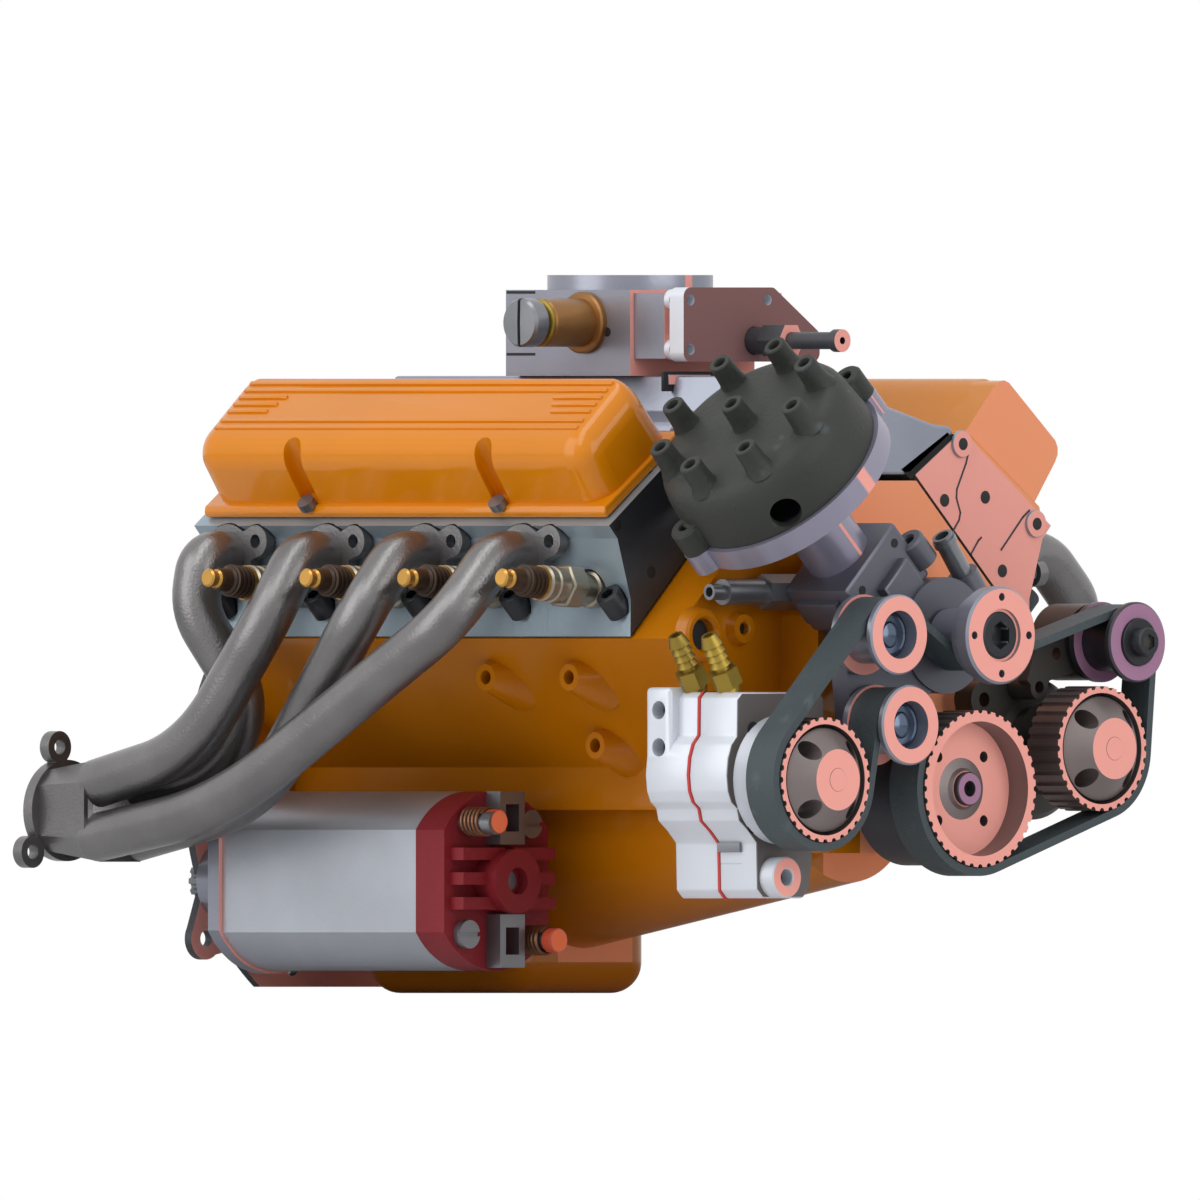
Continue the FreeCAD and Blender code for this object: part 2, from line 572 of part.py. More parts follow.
def pistons_and_rods():
    ring_place = "size.crown_height - 2.2"
    piston_radius = "(size.bore_radius - size.piston_gap)"
    piston = less(turned([("0", "-size.skirt_depth"), (piston_radius, "-size.skirt_depth"),
                          (piston_radius, "size.crown_height - 2.8"),
                          (piston_radius + " - 0.9", "size.crown_height - 2.8"),
                          (piston_radius + " - 0.9", "size.crown_height - 1.8"),
                          (piston_radius, "size.crown_height - 1.8"), (piston_radius, "size.crown_height"),
                          ("0", "size.crown_height")], along="Z"),
                  rod("size.bore_radius - 2.2", "size.skirt_depth + size.crown_height - 4.5", "0", "0",
                      "-size.skirt_depth", "Z"))
    bosses = less(block("2 * size.wrist_radius + 3", "2 * size.wrist_half", "size.crown_height",
                        "-size.wrist_radius - 1.5", "-size.wrist_half", "-2 * size.wrist_radius + 0.5"),
                  block("4 * size.wrist_radius + 4", "size.rod_width + 0.4", "2 * size.crown_height",
                        "-2 * size.wrist_radius - 2", "-size.rod_width / 2 - 0.2", "-size.crown_height"))
    whole = less(fused(piston, bosses),
                 rod("size.wrist_radius + size.seat_gap", "4 * size.wrist_half", "0", "-2 * size.wrist_half"))
    ring = turned([(piston_radius + " - 0.8", ring_place + " - 0.5"),
                   ("size.bore_radius - 0.02", ring_place + " - 0.5"),
                   ("size.bore_radius - 0.02", ring_place + " + 0.35"),
                   (piston_radius + " - 0.8", ring_place + " + 0.35")],
                  along="Z")
    pin = rod("size.wrist_radius", "2 * size.wrist_half", "0", "-size.wrist_half")
    half_width = "(size.rod_width / 2)"
    shank = block("3.2", "size.rod_width * 0.7", "size.rod_length - size.rod_big", "-1.6",
                  "-size.rod_width * 0.35", "size.rod_big - 1")
    eyes = fused(rod("size.rod_big", "size.rod_width", "0", "-" + half_width),
                 rod("size.rod_eye", "size.rod_width", "0", "-" + half_width, "size.rod_length"), shank)
    link = less(eyes, rod("size.pin_radius + size.seat_gap", "2 * size.rod_width", "0", "-size.rod_width"),
                rod("size.wrist_radius + size.seat_gap", "2 * size.rod_width", "0", "-size.rod_width",
                    "size.rod_length"))
    split = block("4 * size.rod_big", "2 * size.rod_width", "2 * size.rod_big", "-2 * size.rod_big",
                  "-size.rod_width", "-2 * size.rod_big + size.seat_gap / 2")
    upper = less(link, split)
    lower = less(link, block("4 * size.rod_big", "2 * size.rod_width", "2 * size.rod_length",
                             "-2 * size.rod_big", "-size.rod_width", "-size.seat_gap / 2"))
    pistons, pins, rods = [], [], []
    for number, turn in zip(CYLINDERS, (0, 90, 270, 180)):
        for side in (NEAR, FAR):
            reach = crank_reach(side, turn)
            sideways = "%s * %s * sin(size.bank_angle)" % (side, reach)
            upward = "%s * cos(size.bank_angle)" % reach
            along = bore_place(side, number)
            pistons.append(copy_of(group([whole, ring]), sideways, along, upward, lean(side)))
            pins.append(copy_of(pin, sideways, along, upward, lean(side)))
            turn_text = "%s * size.bank_angle - %s" % (side, rod_lean(side, turn))
            rods.append(copy_of(group([upper, lower]), "size.throw_radius * sin(%d)" % turn, along,
                                "size.throw_radius * cos(%d)" % turn, ((0, 1, 0), turn_text)))
    keep(group(pistons), "pistons_and_rings")
    keep(group(pins), "wrist_pins")
    keep(group(rods), "connecting_rods")


def pan_form(wall):
    """The pan's outer form, or its hollow when the wall is given."""
    radius = "(size.trough_radius - %s)" % wall
    length = "(size.block_length + size.sump_front + 6)"
    tilt = "(atan(size.trough_end_depth / (size.block_length + size.sump_front)) / (1 deg))"
    trough = rod(radius, length + " / cos(%s)" % tilt, "0", "-size.block_length + %s" % wall, "0",
                 ((1, 0, 0), "-90 - " + tilt))
    side_points = [("-size.block_length + %s" % wall, "size.rail_height"),
                   ("-size.block_length + %s" % wall, "-0.01"),
                   ("size.sump_front + 6", "-size.trough_end_depth"),
                   ("size.sump_front + 6", "size.rail_height")]
    filler = prism(side_points, "side", "-" + radius, "2 * " + radius)
    sump = block("2 * (size.sump_half - %s)" % wall, "size.sump_rear - size.sump_front - 2 * %s" % wall,
                 "size.rail_height - size.sump_depth - %s" % wall, "-size.sump_half + %s" % wall,
                 "size.sump_front + %s" % wall, "size.sump_depth + %s" % wall)
    rounded = smooth(sump, SIZE["sump_round"], lambda edge: edge.CenterOfMass.z < SIZE["rail_height"] - 4)
    above = block("4 * size.sump_half", "2 * size.block_length", "size.sump_half * 2", "-2 * size.sump_half",
                  "-1.5 * size.block_length", "size.rail_height")
    ahead = block("4 * size.sump_half", "size.sump_half", "4 * size.sump_half", "-2 * size.sump_half",
                  "-size.block_length - size.sump_half + %s" % wall, "-2 * size.sump_half")
    return less(fused(trough, filler, rounded), above, ahead)


def oil_pan():
    outer = pan_form("0")
    flange = block("2 * size.rail_half", "size.block_length", "size.pan_flange", "-size.rail_half",
                   "-size.block_length", "size.rail_height - size.pan_flange")
    tail = block("2 * size.rail_half - 6", "-1 * size.sump_rear", "9", "-size.rail_half + 3",
                 "size.sump_rear",
                 "size.rail_height - 9")
    shell = less(fused(outer, flange, tail), pan_form("size.pan_wall"),
                 block("2 * size.rail_half - 10", "-1 * size.sump_rear + 0.1", "10", "-size.rail_half + 5",
                       "size.sump_rear - 2.1", "size.rail_height - 7.5"),
                 rod("size.journal_radius + 0.1", "size.block_length + 2", "0", "-size.block_length - 1"))
    keep(shell, "oil_pan")


# Heads, covers and valve gear

def head_outline(side):
    """The head's section, upright, in its bank's own frame."""
    corners = [("-size.head_inner", "size.deck_height + size.gasket"), ("-size.head_inner + 2.1", "57.2"),
               ("-21.9", "size.rail_inner"), ("2.5", "size.rail_outer"), ("2.6", "59.8"), ("7.4", "50.7"),
               ("size.deck_outer", "size.deck_height + size.gasket")]
    return [("%s * (%s)" % (side, x), z) for x, z in corners]


def head_start(side):
    offset = " - size.bank_offset" if side == FAR else ""
    return "(size.near_head_rear - size.head_length%s)" % offset


def port_place(side, number):
    """Where an exhaust port lies: the heads are one casting, turned end for end on the far bank."""
    sign = "+" if side == NEAR else "-"
    return "(%s %s size.port_back)" % (bore_place(side, number), sign)


def plug_place(side, number):
    sign = "-" if side == NEAR else "+"
    return "(%s %s size.plug_forward)" % (bore_place(side, number), sign)


def bolt_places(side):
    """Five bolts along each edge of a head, clear of its bores."""
    offset = " - size.bank_offset" if side == FAR else ""
    return ["(size.near_bore_start + size.bore_pitch / 2 - %d * size.bore_pitch%s)" % (number, offset)
            for number in range(5)]


def cylinder_head(side, label):
    casting = prism(head_outline(side), "front", head_start(side), "size.head_length")
    out = ((0, 1, 0), "%s * size.bank_angle" % side)
    cuts = []
    for number in CYLINDERS:
        bore = bore_place(side, number)
        cuts.append(rod("size.bore_radius - 0.3", "2.2", "0", bore, "size.deck_height + size.gasket - 0.5",
                        "Z"))
        cuts.append(rod("size.bore_radius - 1", "3.6", "-%s * size.valve_in" % side, bore, "size.deck_height",
                        "Z"))
        port_x, port_z = "4.2", "57.1"
        cuts.append(rod("size.port_radius", "14", "%s * (%s - 9)" % (side, port_x), port_place(side, number),
                        "%s - 9" % port_z, out))
        cuts.append(rod("size.port_radius", "16", "%s * (-size.head_inner - 2)" % side,
                        "%s - size.port_back / 2" % bore, "51.8", ((0, 1, 0), "%s * 90" % side)))
        for offset in ("size.valve_spread", "-size.valve_spread"):
            tilt = ((0, 1, 0), "-%s * size.valve_tilt" % side)
            foot = "size.deck_height + size.gasket + 0.2"
            cuts.append(rod("size.stem_radius + size.seat_gap", "size.valve_length",
                            "-%s * size.valve_in" % side,
                            "%s + %s" % (bore, offset), foot, tilt))
            cuts.append(rod("size.spring_outer + 0.2", "8",
                            "-%s * (size.valve_in + 14.3 * sin(size.valve_tilt))" % side,
                            "%s + %s" % (bore, offset),
                            foot + " + 14.3 * cos(size.valve_tilt)", tilt))
            cuts.append(rod("size.pushrod_radius + 0.3", "30", "-%s * size.camshaft_height / sqrt(2)" % side,
                            "%s + %s" % (bore, offset), "size.deck_height - 2", "Z"))
        plug_turn = ((0, 1, 0), "%s * (90 - size.plug_tilt - size.bank_angle)" % side)
        seat_x = "%s * (size.plug_seat - size.plug_height) / sqrt(2)" % side
        seat_z = "((size.plug_seat + size.plug_height) / sqrt(2))"
        cuts.append(copy_of(rod("size.plug_thread + size.seat_gap", "size.plug_reach + 1.4", "0", "0",
                                "-size.plug_reach - 0.4", "Z"), seat_x, plug_place(side, number), seat_z,
                            plug_turn))
        cuts.append(copy_of(rod("3.3", "8", "0", "0", "0", "Z"),
                            seat_x, plug_place(side, number), seat_z, plug_turn))
        recess = fused(rod("size.tube_radius + 1.6", "6", "0", "0", "0", "Z"),
                       rod("2.8", "6", "-2.6", "6.3", "0", "Z"),
                       block("6.8", "5.2", "6", "2.6 * sin(112.4)", "-2.6 * cos(112.4)", "0",
                             ((0, 0, 1), "112.4")))
        turned_recess = copy_of(recess, turn=((0, 0, 1), "0" if side == FAR else "180"))
        cuts.append(copy_of(turned_recess, "%s * (44 - size.port_height) / sqrt(2)" % side,
                            port_place(side, number),
                            "((44 + size.port_height) / sqrt(2))",
                            ((0, 1, 0), "%s * (90 - size.bank_angle)" % side)))
    for place_along in bolt_places(side):
        cuts.append(rod("1.1", "20", "%s * size.bolt_out" % side, place_along, "size.deck_height", "Z"))
        cuts.append(rod("size.bolt_head + 0.3", "20", "%s * size.bolt_out" % side, place_along,
                        "size.bolt_sink", "Z"))
        cuts.append(rod("1.1", "30", "%s * -11.6" % side, place_along, "size.deck_height", "Z"))
    keep(place(less(casting, *cuts), turn=lean(side)), label)


def cover_outline(side, wall):
    corners = [("-0.2 - %s" % wall, "size.rail_outer - 0.3 - 3 * %s" % wall),
               ("-2.6 - %s" % wall, "size.cover_top_outer - %s" % wall),
               ("-20.9 + %s" % wall, "size.cover_top_inner - %s" % wall),
               ("-20.3 + %s" % wall, "size.rail_inner + 0.4 - 3 * %s" % wall)]
    return [("%s * (%s)" % (side, x), z) for x, z in corners]


def valve_cover(side, label):
    offset = " - size.bank_offset" if side == FAR else ""
    rear = "(size.near_cover_rear%s)" % offset
    start = "(%s - size.cover_length)" % rear
    outer = prism(cover_outline(side, "0"), "front", start, "size.cover_length")
    rounded = smooth(outer, SIZE["cover_round"], lambda edge: edge.CenterOfMass.z > SIZE["rail_outer"] + 1)
    hollow = prism(cover_outline(side, "size.cover_wall"), "front", start + " + size.cover_wall",
                   "size.cover_length - 2 * size.cover_wall")
    sole = prism([("%s * 0.9" % side, "size.rail_outer + 0.1"), ("%s * 0.9" % side, "size.rail_outer + 1.5"),
                  ("-%s * 21.6" % side, "size.rail_inner + 1.8"),
                  ("-%s * 21.6" % side, "size.rail_inner + 0.4")],
                 "front", start, "size.cover_length")
    base = "0.155"
    under = prism([("%s * 4" % side, "size.rail_outer + 4 * %s - 0.29" % base),
                   ("-%s * 26" % side, "size.rail_outer - 26 * %s - 0.29" % base),
                   ("-%s * 26" % side, "50"), ("%s * 4" % side, "50")], "front", start + " - 2",
                  "size.cover_length + 4")
    cuts = [hollow, under]
    for sign in ("+", "-"):
        middle = "(%s - size.cover_length / 2 %s size.groove_spread)" % (rear, sign)
        channel = rod("size.groove_width / 2", "14", "-%s * 0.2" % side, middle, "size.rail_outer + 1.6",
                      ((0, 1, 0), "-%s * 11" % side))
        cuts.append(channel)
    ribs = []
    for number in range(3):
        for edge in ("-5.2 - %d * 1.9" % number, "-18.4 + %d * 1.3" % number):
            x = "(%s * (%s))" % (side, edge)
            z = "(size.cover_top_inner + (%s + 20.9) * 0.104 - 0.6)" % edge
            ribs.append(block("0.7", "size.cover_length - 12", "1.2", x + " - 0.35", start + " + 6", z))
    keep(place(less(fused(rounded, sole, *ribs), *cuts), turn=lean(side)), label)


def cover_screws():
    screws = []
    for side in (NEAR, FAR):
        offset = " - size.bank_offset" if side == FAR else ""
        rear = "(size.near_cover_rear%s)" % offset
        for sign in ("+", "-"):
            middle = "(%s - size.cover_length / 2 %s size.groove_spread)" % (rear, sign)
            screw = turned([("0", "0"), ("size.screw_head", "0"), ("size.screw_head", "1.4"), ("0", "1.4")],
                           "-%s * 0.2" % side, middle, "size.rail_outer + 1.65", "Z")
            screws.append(place(group([screw]), turn=lean(side)))
    keep(group(screws), "cover_screws")


def head_bolts():
    bolt = less(turned([("0", "0"), ("size.bolt_head", "0"), ("size.bolt_head", "4.2"), ("0", "4.2")],
                       along="Z"),
                hexagon("1.1", "3", "0", "0", "2.4", "Z"))
    bolts = []
    for side in (NEAR, FAR):
        for place_along in bolt_places(side):
            upright = copy_of(bolt, "%s * size.bolt_out" % side, place_along, "size.bolt_sink")
            bolts.append(place(group([upright]), turn=lean(side)))
    keep(group(bolts), "head_bolts")


def gaskets():
    sheets = []
    for side in (NEAR, FAR):
        plate = block("size.head_inner - 10.2 + size.deck_outer - 0.4", "size.head_length - 1",
                      "size.gasket - 0.02",
                      "-(size.head_inner - 10.2)" if side == FAR else "-size.deck_outer + 0.4",
                      head_start(side) + " + 0.5", "size.deck_height + 0.01")
        cuts = [rod("size.bore_radius", "4", "0", bore_place(side, number), "size.deck_height - 2", "Z")
                for number in CYLINDERS]
        sheets.append(place(less(plate, *cuts), turn=lean(side)))
        inner_foot = across("-size.head_inner", "size.deck_height + size.gasket")
        inner_top = across("-size.head_inner + 2.1", "57.2")
        length = "size.intake_length" + (" - size.intake_notch" if side == NEAR else "")
        strip = prism([("%s * (%s - 0.05)" % (side, inner_foot[0]), inner_foot[1] + " + 0.05"),
                       ("%s * (%s - 0.05)" % (side, inner_top[0]), inner_top[1] + " + 0.05"),
                       ("%s * (%s - 0.05)" % (side, inner_top[0]), inner_top[1] + " + 0.05 + size.gasket"),
                       ("%s * (%s - 0.05)" % (side, inner_foot[0]), inner_foot[1] + " + 0.05 + size.gasket")],
                      "front", "size.intake_rear - (%s)" % length, length)
        sheets.append(strip)
    keep(group(sheets), "gaskets")


def valve_train():
    """Valves, springs, rockers, pushrods and lifters, closed and at rest."""
    valve = turned([("0", "0"), ("size.valve_head", "0"), ("size.valve_head", "0.5"),
                    ("size.stem_radius", "2.2"),
                    ("size.stem_radius", "size.valve_length"), ("0", "size.valve_length")], along="Z")
    spring = turned([("size.stem_radius + 0.5", "0"), ("size.spring_outer", "0"),
                     ("size.spring_outer", "size.spring_height - 1"),
                     ("size.stem_radius + size.seat_gap", "size.spring_height - 1"),
                     ("size.stem_radius + size.seat_gap", "size.spring_height - 1.8"),
                     ("size.stem_radius + 0.5", "size.spring_height - 1.8")], along="Z")
    lifter = turned([("0", "0"), ("size.lifter_radius", "0"), ("size.lifter_radius", "size.lifter_length"),
                     ("0", "size.lifter_length")], along="Z")
    pushrod = rod("size.pushrod_radius", "size.pushrod_length", along="Z")
    arm = less(prism([("-5.3", "0.05"), ("-3.2", "0.05"), ("-0.5", "2.35"), ("3.1", "4"), ("5.6", "4"),
                      ("5.6", "5.4"),
                      ("1.5", "5.8"), ("-1.5", "4.8"), ("-5.3", "1.8")],
                     "front", "-size.rocker_width / 2", "size.rocker_width"),
               rod("0.9", "12", "0", "0", "-5", "Z"))
    stud = rod("0.85", "7.2", "0", "0", "-0.45", "Z")
    valves, springs, lifters, pushrods, rockers = [], [], [], [], []
    for side in (NEAR, FAR):
        rise = "(size.cam_journal + 0.1)"
        for number in CYLINDERS:
            for offset in ("size.valve_spread", "-size.valve_spread"):
                along = "%s + %s" % (bore_place(side, number), offset)
                tilt = ((0, 1, 0), "-%s * size.valve_tilt" % side)
                foot = "size.deck_height + size.gasket + 0.2"
                valves.append(place(group([copy_of(valve, "-%s * size.valve_in" % side, along, foot, tilt)]),
                                    turn=lean(side)))
                reach = "14.4"
                springs.append(place(group([copy_of(
                    spring, "-%s * (size.valve_in + (%s) * sin(size.valve_tilt))" % (side, reach), along,
                    foot + " + (%s) * cos(size.valve_tilt)" % reach, tilt)]), turn=lean(side)))
                lifters.append(copy_of(lifter, "%s * %s * sin(size.bank_angle)" % (side, rise), along,
                                       "size.camshaft_height + %s * cos(size.bank_angle)" % rise, lean(side)))
                top = "(%s + size.lifter_length + 0.05)" % rise
                pushrods.append(copy_of(pushrod, "%s * %s * sin(size.bank_angle)" % (side, top), along,
                                        "size.camshaft_height + %s * cos(size.bank_angle)" % top, lean(side)))
                level = "(size.camshaft_height / sqrt(2) + %s + size.pushrod_length + 0.04)" % top
                middle = "(-%s * (size.camshaft_height / sqrt(2) - 4.26))" % side
                pair = group([copy_of(arm, middle, along, level, ((0, 0, 1), "0" if side == FAR else "180")),
                              copy_of(stud, middle, along, level)])
                rockers.append(place(group([pair]), turn=lean(side)))
    keep(group(valves), "valves")
    keep(group(springs), "valve_springs")
    keep(group(lifters + pushrods), "lifters_and_pushrods")
    keep(group(rockers), "rocker_arms")


def spark_plugs():
    shell = turned([("0", "-size.plug_reach"), ("size.plug_thread", "-size.plug_reach"),
                    ("size.plug_thread", "0"),
                    ("2.9", "0"), ("2.9", "1.2"), ("2.6", "1.2"), ("2.6", "4"), ("3.2", "4"), ("3.2", "8"),
                    ("2.5", "8.6"), ("2.5", "12.6"), ("2.7", "12.8"), ("2.7", "16.4"), ("1.9", "16.8"),
                    ("1.9", "19.2"),
                    ("1.55", "19.4"), ("1.55", "21.3"), ("0", "21.3")], along="Z")
    wrench = hexagon("3.8", "3.6", "0", "0", "4.2", "Z")
    plug = fused(shell, wrench)
    copies = []
    for side in (NEAR, FAR):
        for number in CYLINDERS:
            copies.append(copy_of(plug, "%s * size.plug_seat" % side, plug_place(side, number),
                                  "size.plug_height",
                                  ((0, 1, 0), "%s * (90 - size.plug_tilt)" % side)))
    keep(group(copies), "spark_plugs")


# Exhaust

def rounded_path(points):
    """A wire of straight runs joined by tangent arcs as large as the runs allow."""
    edges = []
    last = points[0]
    for number in range(1, len(points) - 1):
        before, corner, after = points[number - 1], points[number], points[number + 1]
        back = before - corner
        ahead = after - corner
        reach = 0.45 * min(back.Length, ahead.Length)
        start = corner + back.normalize() * reach
        end = corner + ahead.normalize() * reach
        half = (back + ahead).normalize()
        angle = back.getAngle(ahead) / 2
        radius = reach * math.tan(angle)
        middle = corner + half * (radius / math.sin(angle) - radius)
        edges.append(Part.LineSegment(last, start).toShape())
        edges.append(Part.Arc(start, middle, end).toShape())
        last = end
    edges.append(Part.LineSegment(last, points[-1]).toShape())
    return Part.Wire(edges)


def tube_along(points, radius):
    """A round bar swept along a rounded path."""
    path = rounded_path(points)
    ring = Part.Circle(points[0], points[1] - points[0], radius).toShape()
    return path.makePipeShell([Part.Wire(ring)], True, False)


def tube_route(side, number):
    """One exhaust tube's corners, from its port to the collector; the shape follows the ports."""
    sign = 1 if side == FAR else -1
    bank = -SIZE["bank_offset"] if side == FAR else 0
    bore = SIZE["near_bore_start"] - number * SIZE["bore_pitch"] + bank
    port = bore - sign * SIZE["port_back"]
    level = SIZE["port_height"]
    out, high = SIZE["collector_out"], SIZE["collector_height"]
    spacing = SIZE["tube_radius"] + 0.4
    bends = {0: [(54, port, level - 8.5), (47.5, port - 6.5, 14), (47.5, bank - 13, 2)],
             1: [(59.5, port, level - 10), (59.5, bank - 20, 6)],
             2: [(60.5, port, level - 9), (51, bank - 27, -2)],
             3: [(62.3, port, level - 10), (62, bank - 29, -3.1)]}[number]
    outer = number in (1, 3)
    upper = number in (0, 1)
    end = (out + (spacing if outer else -spacing), SIZE["collector_start"] + 1 + bank,
           high + (spacing if upper else -spacing))
    route = [(44.4, port, level), (52, port, level + 0.6)] + bends + [end]
    return [FreeCAD.Vector(sign * x, y, z) for x, y, z in route]


def exhaust_manifold(side, label):
    """Four tubes on their own flanges, gathered into one collector with a three-bolt outlet."""
    sign = 1 if side == FAR else -1
    bank = -SIZE["bank_offset"] if side == FAR else 0
    tubes, hollows, ears = [], [], []
    for number in CYLINDERS:
        route = tube_route(side, number)
        tubes.append(tube_along(route, SIZE["tube_radius"]))
        hollows.append(tube_along(route, SIZE["tube_radius"] - SIZE["tube_wall"]))
        port = route[0]
        flange = Part.makeCylinder(SIZE["tube_radius"] + 1.4, SIZE["ear_thickness"], port,
                                   FreeCAD.Vector(sign, 0, 0))
        hulls = [flange]
        for reach, rise, round_off in ((6.3, 2.6, 2.6), (-5.2, -2.6, 2.1)):
            hole = port + FreeCAD.Vector(0, sign * reach, rise)
            lobe = Part.makeCylinder(round_off, SIZE["ear_thickness"], hole, FreeCAD.Vector(sign, 0, 0))
            strip = Part.makeBox(SIZE["ear_thickness"], abs(reach), 2 * round_off - 0.2,
                                 FreeCAD.Vector(0, 0, 0.1 - round_off))
            corner = port.x if sign > 0 else port.x - SIZE["ear_thickness"]
            strip.Placement = FreeCAD.Placement(FreeCAD.Vector(corner, port.y, port.z),
                                                FreeCAD.Rotation(FreeCAD.Vector(0, 1, 0),
                                                                 FreeCAD.Vector(0, sign * reach, rise)))
            hulls.append(lobe)
            hulls.append(strip)
            hollows.append(Part.makeCylinder(SIZE["ear_hole"], 6, hole - FreeCAD.Vector(sign * 2, 0, 0),
                                             FreeCAD.Vector(sign, 0, 0)))
        ears.append(hulls[0].fuse(hulls[1:]).removeSplitter())
        hollows.append(Part.makeCylinder(SIZE["port_radius"], 4, port - FreeCAD.Vector(sign, 0, 0),
                                         FreeCAD.Vector(sign, 0, 0)))
    centre = FreeCAD.Vector(sign * SIZE["collector_out"], SIZE["collector_start"] + bank,
                            SIZE["collector_height"])
    rearward = FreeCAD.Vector(0, 1, 0)
    spacing = SIZE["tube_radius"] + 0.4
    wide = spacing + SIZE["tube_radius"]

    def cone(grow):
        section = []
        for reach, size in ((0, wide + grow), (SIZE["collector_length"], SIZE["outlet_radius"] + grow)):
            middle = centre + rearward * reach
            corner = size * (0.62 if reach else 0.55)
            ring = Part.makePolygon([middle + FreeCAD.Vector(x, 0, z) for x, z in (
                (size, corner), (corner, size), (-corner, size), (-size, corner), (-size, -corner),
                (-corner, -size), (corner, -size), (size, -corner), (size, corner))])
            section.append(ring)
        return Part.makeLoft(section, True, True)

    collector = cone(0)
    inside = cone(-SIZE["tube_wall"])
    outlet = centre + rearward * SIZE["collector_length"]
    plate_points = []
    circle = SIZE["outlet_circle"]
    holes = []
    for number in range(3):
        angle = math.radians(100 + 120 * number)
        holes.append(outlet + FreeCAD.Vector(-sign * math.cos(angle) * circle, 0, math.sin(angle) * circle))
    lobes = [Part.makeCylinder(2.6, SIZE["outlet_flange"], hole, rearward) for hole in holes]
    triangle = Part.Face(Part.makePolygon(holes + [holes[0]])).extrude(rearward * SIZE["outlet_flange"])
    disc = Part.makeCylinder(SIZE["outlet_radius"] + 1.6, SIZE["outlet_flange"], outlet, rearward)
    plate = disc.fuse(lobes + [triangle])
    hollows.append(inside)
    hollows.append(Part.makeCylinder(SIZE["outlet_radius"] - SIZE["tube_wall"], 6, outlet - rearward * 2,
                                     rearward))
    for hole in holes:
        hollows.append(Part.makeCylinder(SIZE["outlet_hole"], 6, hole - rearward * 2, rearward))
    outside = tubes[0].fuse(tubes[1:] + ears + [collector, plate])
    solid = outside.cut(hollows)
    manifold = document.addObject("Part::Feature", "manifold")
    manifold.Shape = solid
    manifold.Placement = FreeCAD.Placement()
    keep(manifold, label)


# Induction

def intake_manifold():
    gap = " + size.gasket + 0.15"
    foot = across("-size.head_inner", "size.deck_height + size.gasket")
    top = across("-size.head_inner + 2.1", "57.2")
    start = "(size.intake_rear - size.intake_length)"
    half = [("%s - 1" % foot[0], foot[1] + " - 0.675" + gap), (top[0], top[1] + gap),
            ("%s - 1" % top[0], top[1] + " + 2.4"), ("size.plenum_half", top[1] + " + 4"),
            ("size.plenum_half - 1", "size.plenum_top")]
    body = prism(both_sides(half), "front", start, "size.intake_length")
    pad_start = "(size.throttle_place - size.throttle_half - 1)"
    pad = block("2 * size.throttle_half + 2", "2 * size.throttle_half + 2", "3", "-size.throttle_half - 1",
                pad_start,
                "size.plenum_top - 3")
    cuts = [block("2 * size.plenum_half - 6", "size.intake_length - 8", "7.5", "-size.plenum_half + 3",
                  start + " + 4",
                  "size.plenum_top - 10.5"),
            rod("size.throttle_bore", "8", "0", "size.throttle_place", "size.plenum_top - 5", "Z")]
    cuts.append(block("30", "size.intake_notch + 1", "30", "-30 - size.notch_side", start + " - 1",
                      "size.plenum_top - 29"))
    for side in (NEAR, FAR):
        for number in CYLINDERS:
            reach = across("-size.head_inner - 2", "51.8")
            cuts.append(rod("size.port_radius - 0.4", "14", "%s * (%s + 3)" % (side, reach[0]),
                            "%s - size.port_back / 2" % bore_place(side, number), reach[1] + " - 3",
                            ((0, 1, 0), "-%s * size.bank_angle" % side)))
    keep(less(fused(body, pad), *cuts), "intake_manifold")


def throttle_body():
    base = "(size.plenum_top + size.throttle_base)"
    start = "(size.throttle_place - size.throttle_half)"
    height = "(size.throttle_top - %s)" % base
    foot = block("2 * size.throttle_half", "2 * size.throttle_half", "size.throttle_base",
                 "-size.throttle_half", start,
                 "size.plenum_top")
    body = block("2 * size.throttle_half", "2 * size.throttle_half", height, "-size.throttle_half", start,
                 base)
    ring = rod("size.throttle_ring", "size.throttle_ring_top - size.throttle_top", "0", "size.throttle_place",
               "size.throttle_top", "Z")
    ahead = block("2 * size.throttle_half - 1.6", "size.valve_half_length", height + " - 1",
                  "-size.throttle_half + 0.8", start + " - size.valve_half_length", base + " + 0.5")
    cuts = [rod("size.throttle_bore", "30", "0", "size.throttle_place", "size.plenum_top - 2", "Z"),
            rod("size.throttle_shaft + size.running_gap", "4 * size.throttle_half", "0",
                start + " - size.valve_half_length - 1", "size.shaft_height"),
            rod("size.idle_radius - 1", "8", "-size.throttle_half - 1",
                "size.throttle_place - size.idle_forward", "size.shaft_height", "X")]
    for x in ("-11.8", "11.8"):
        for z in ("79", "71"):
            cuts.append(rod("0.8", "5", x, start + " - size.valve_half_length - 1", z))
    keep(less(fused(foot, body, ring, ahead), *cuts), "throttle_body")


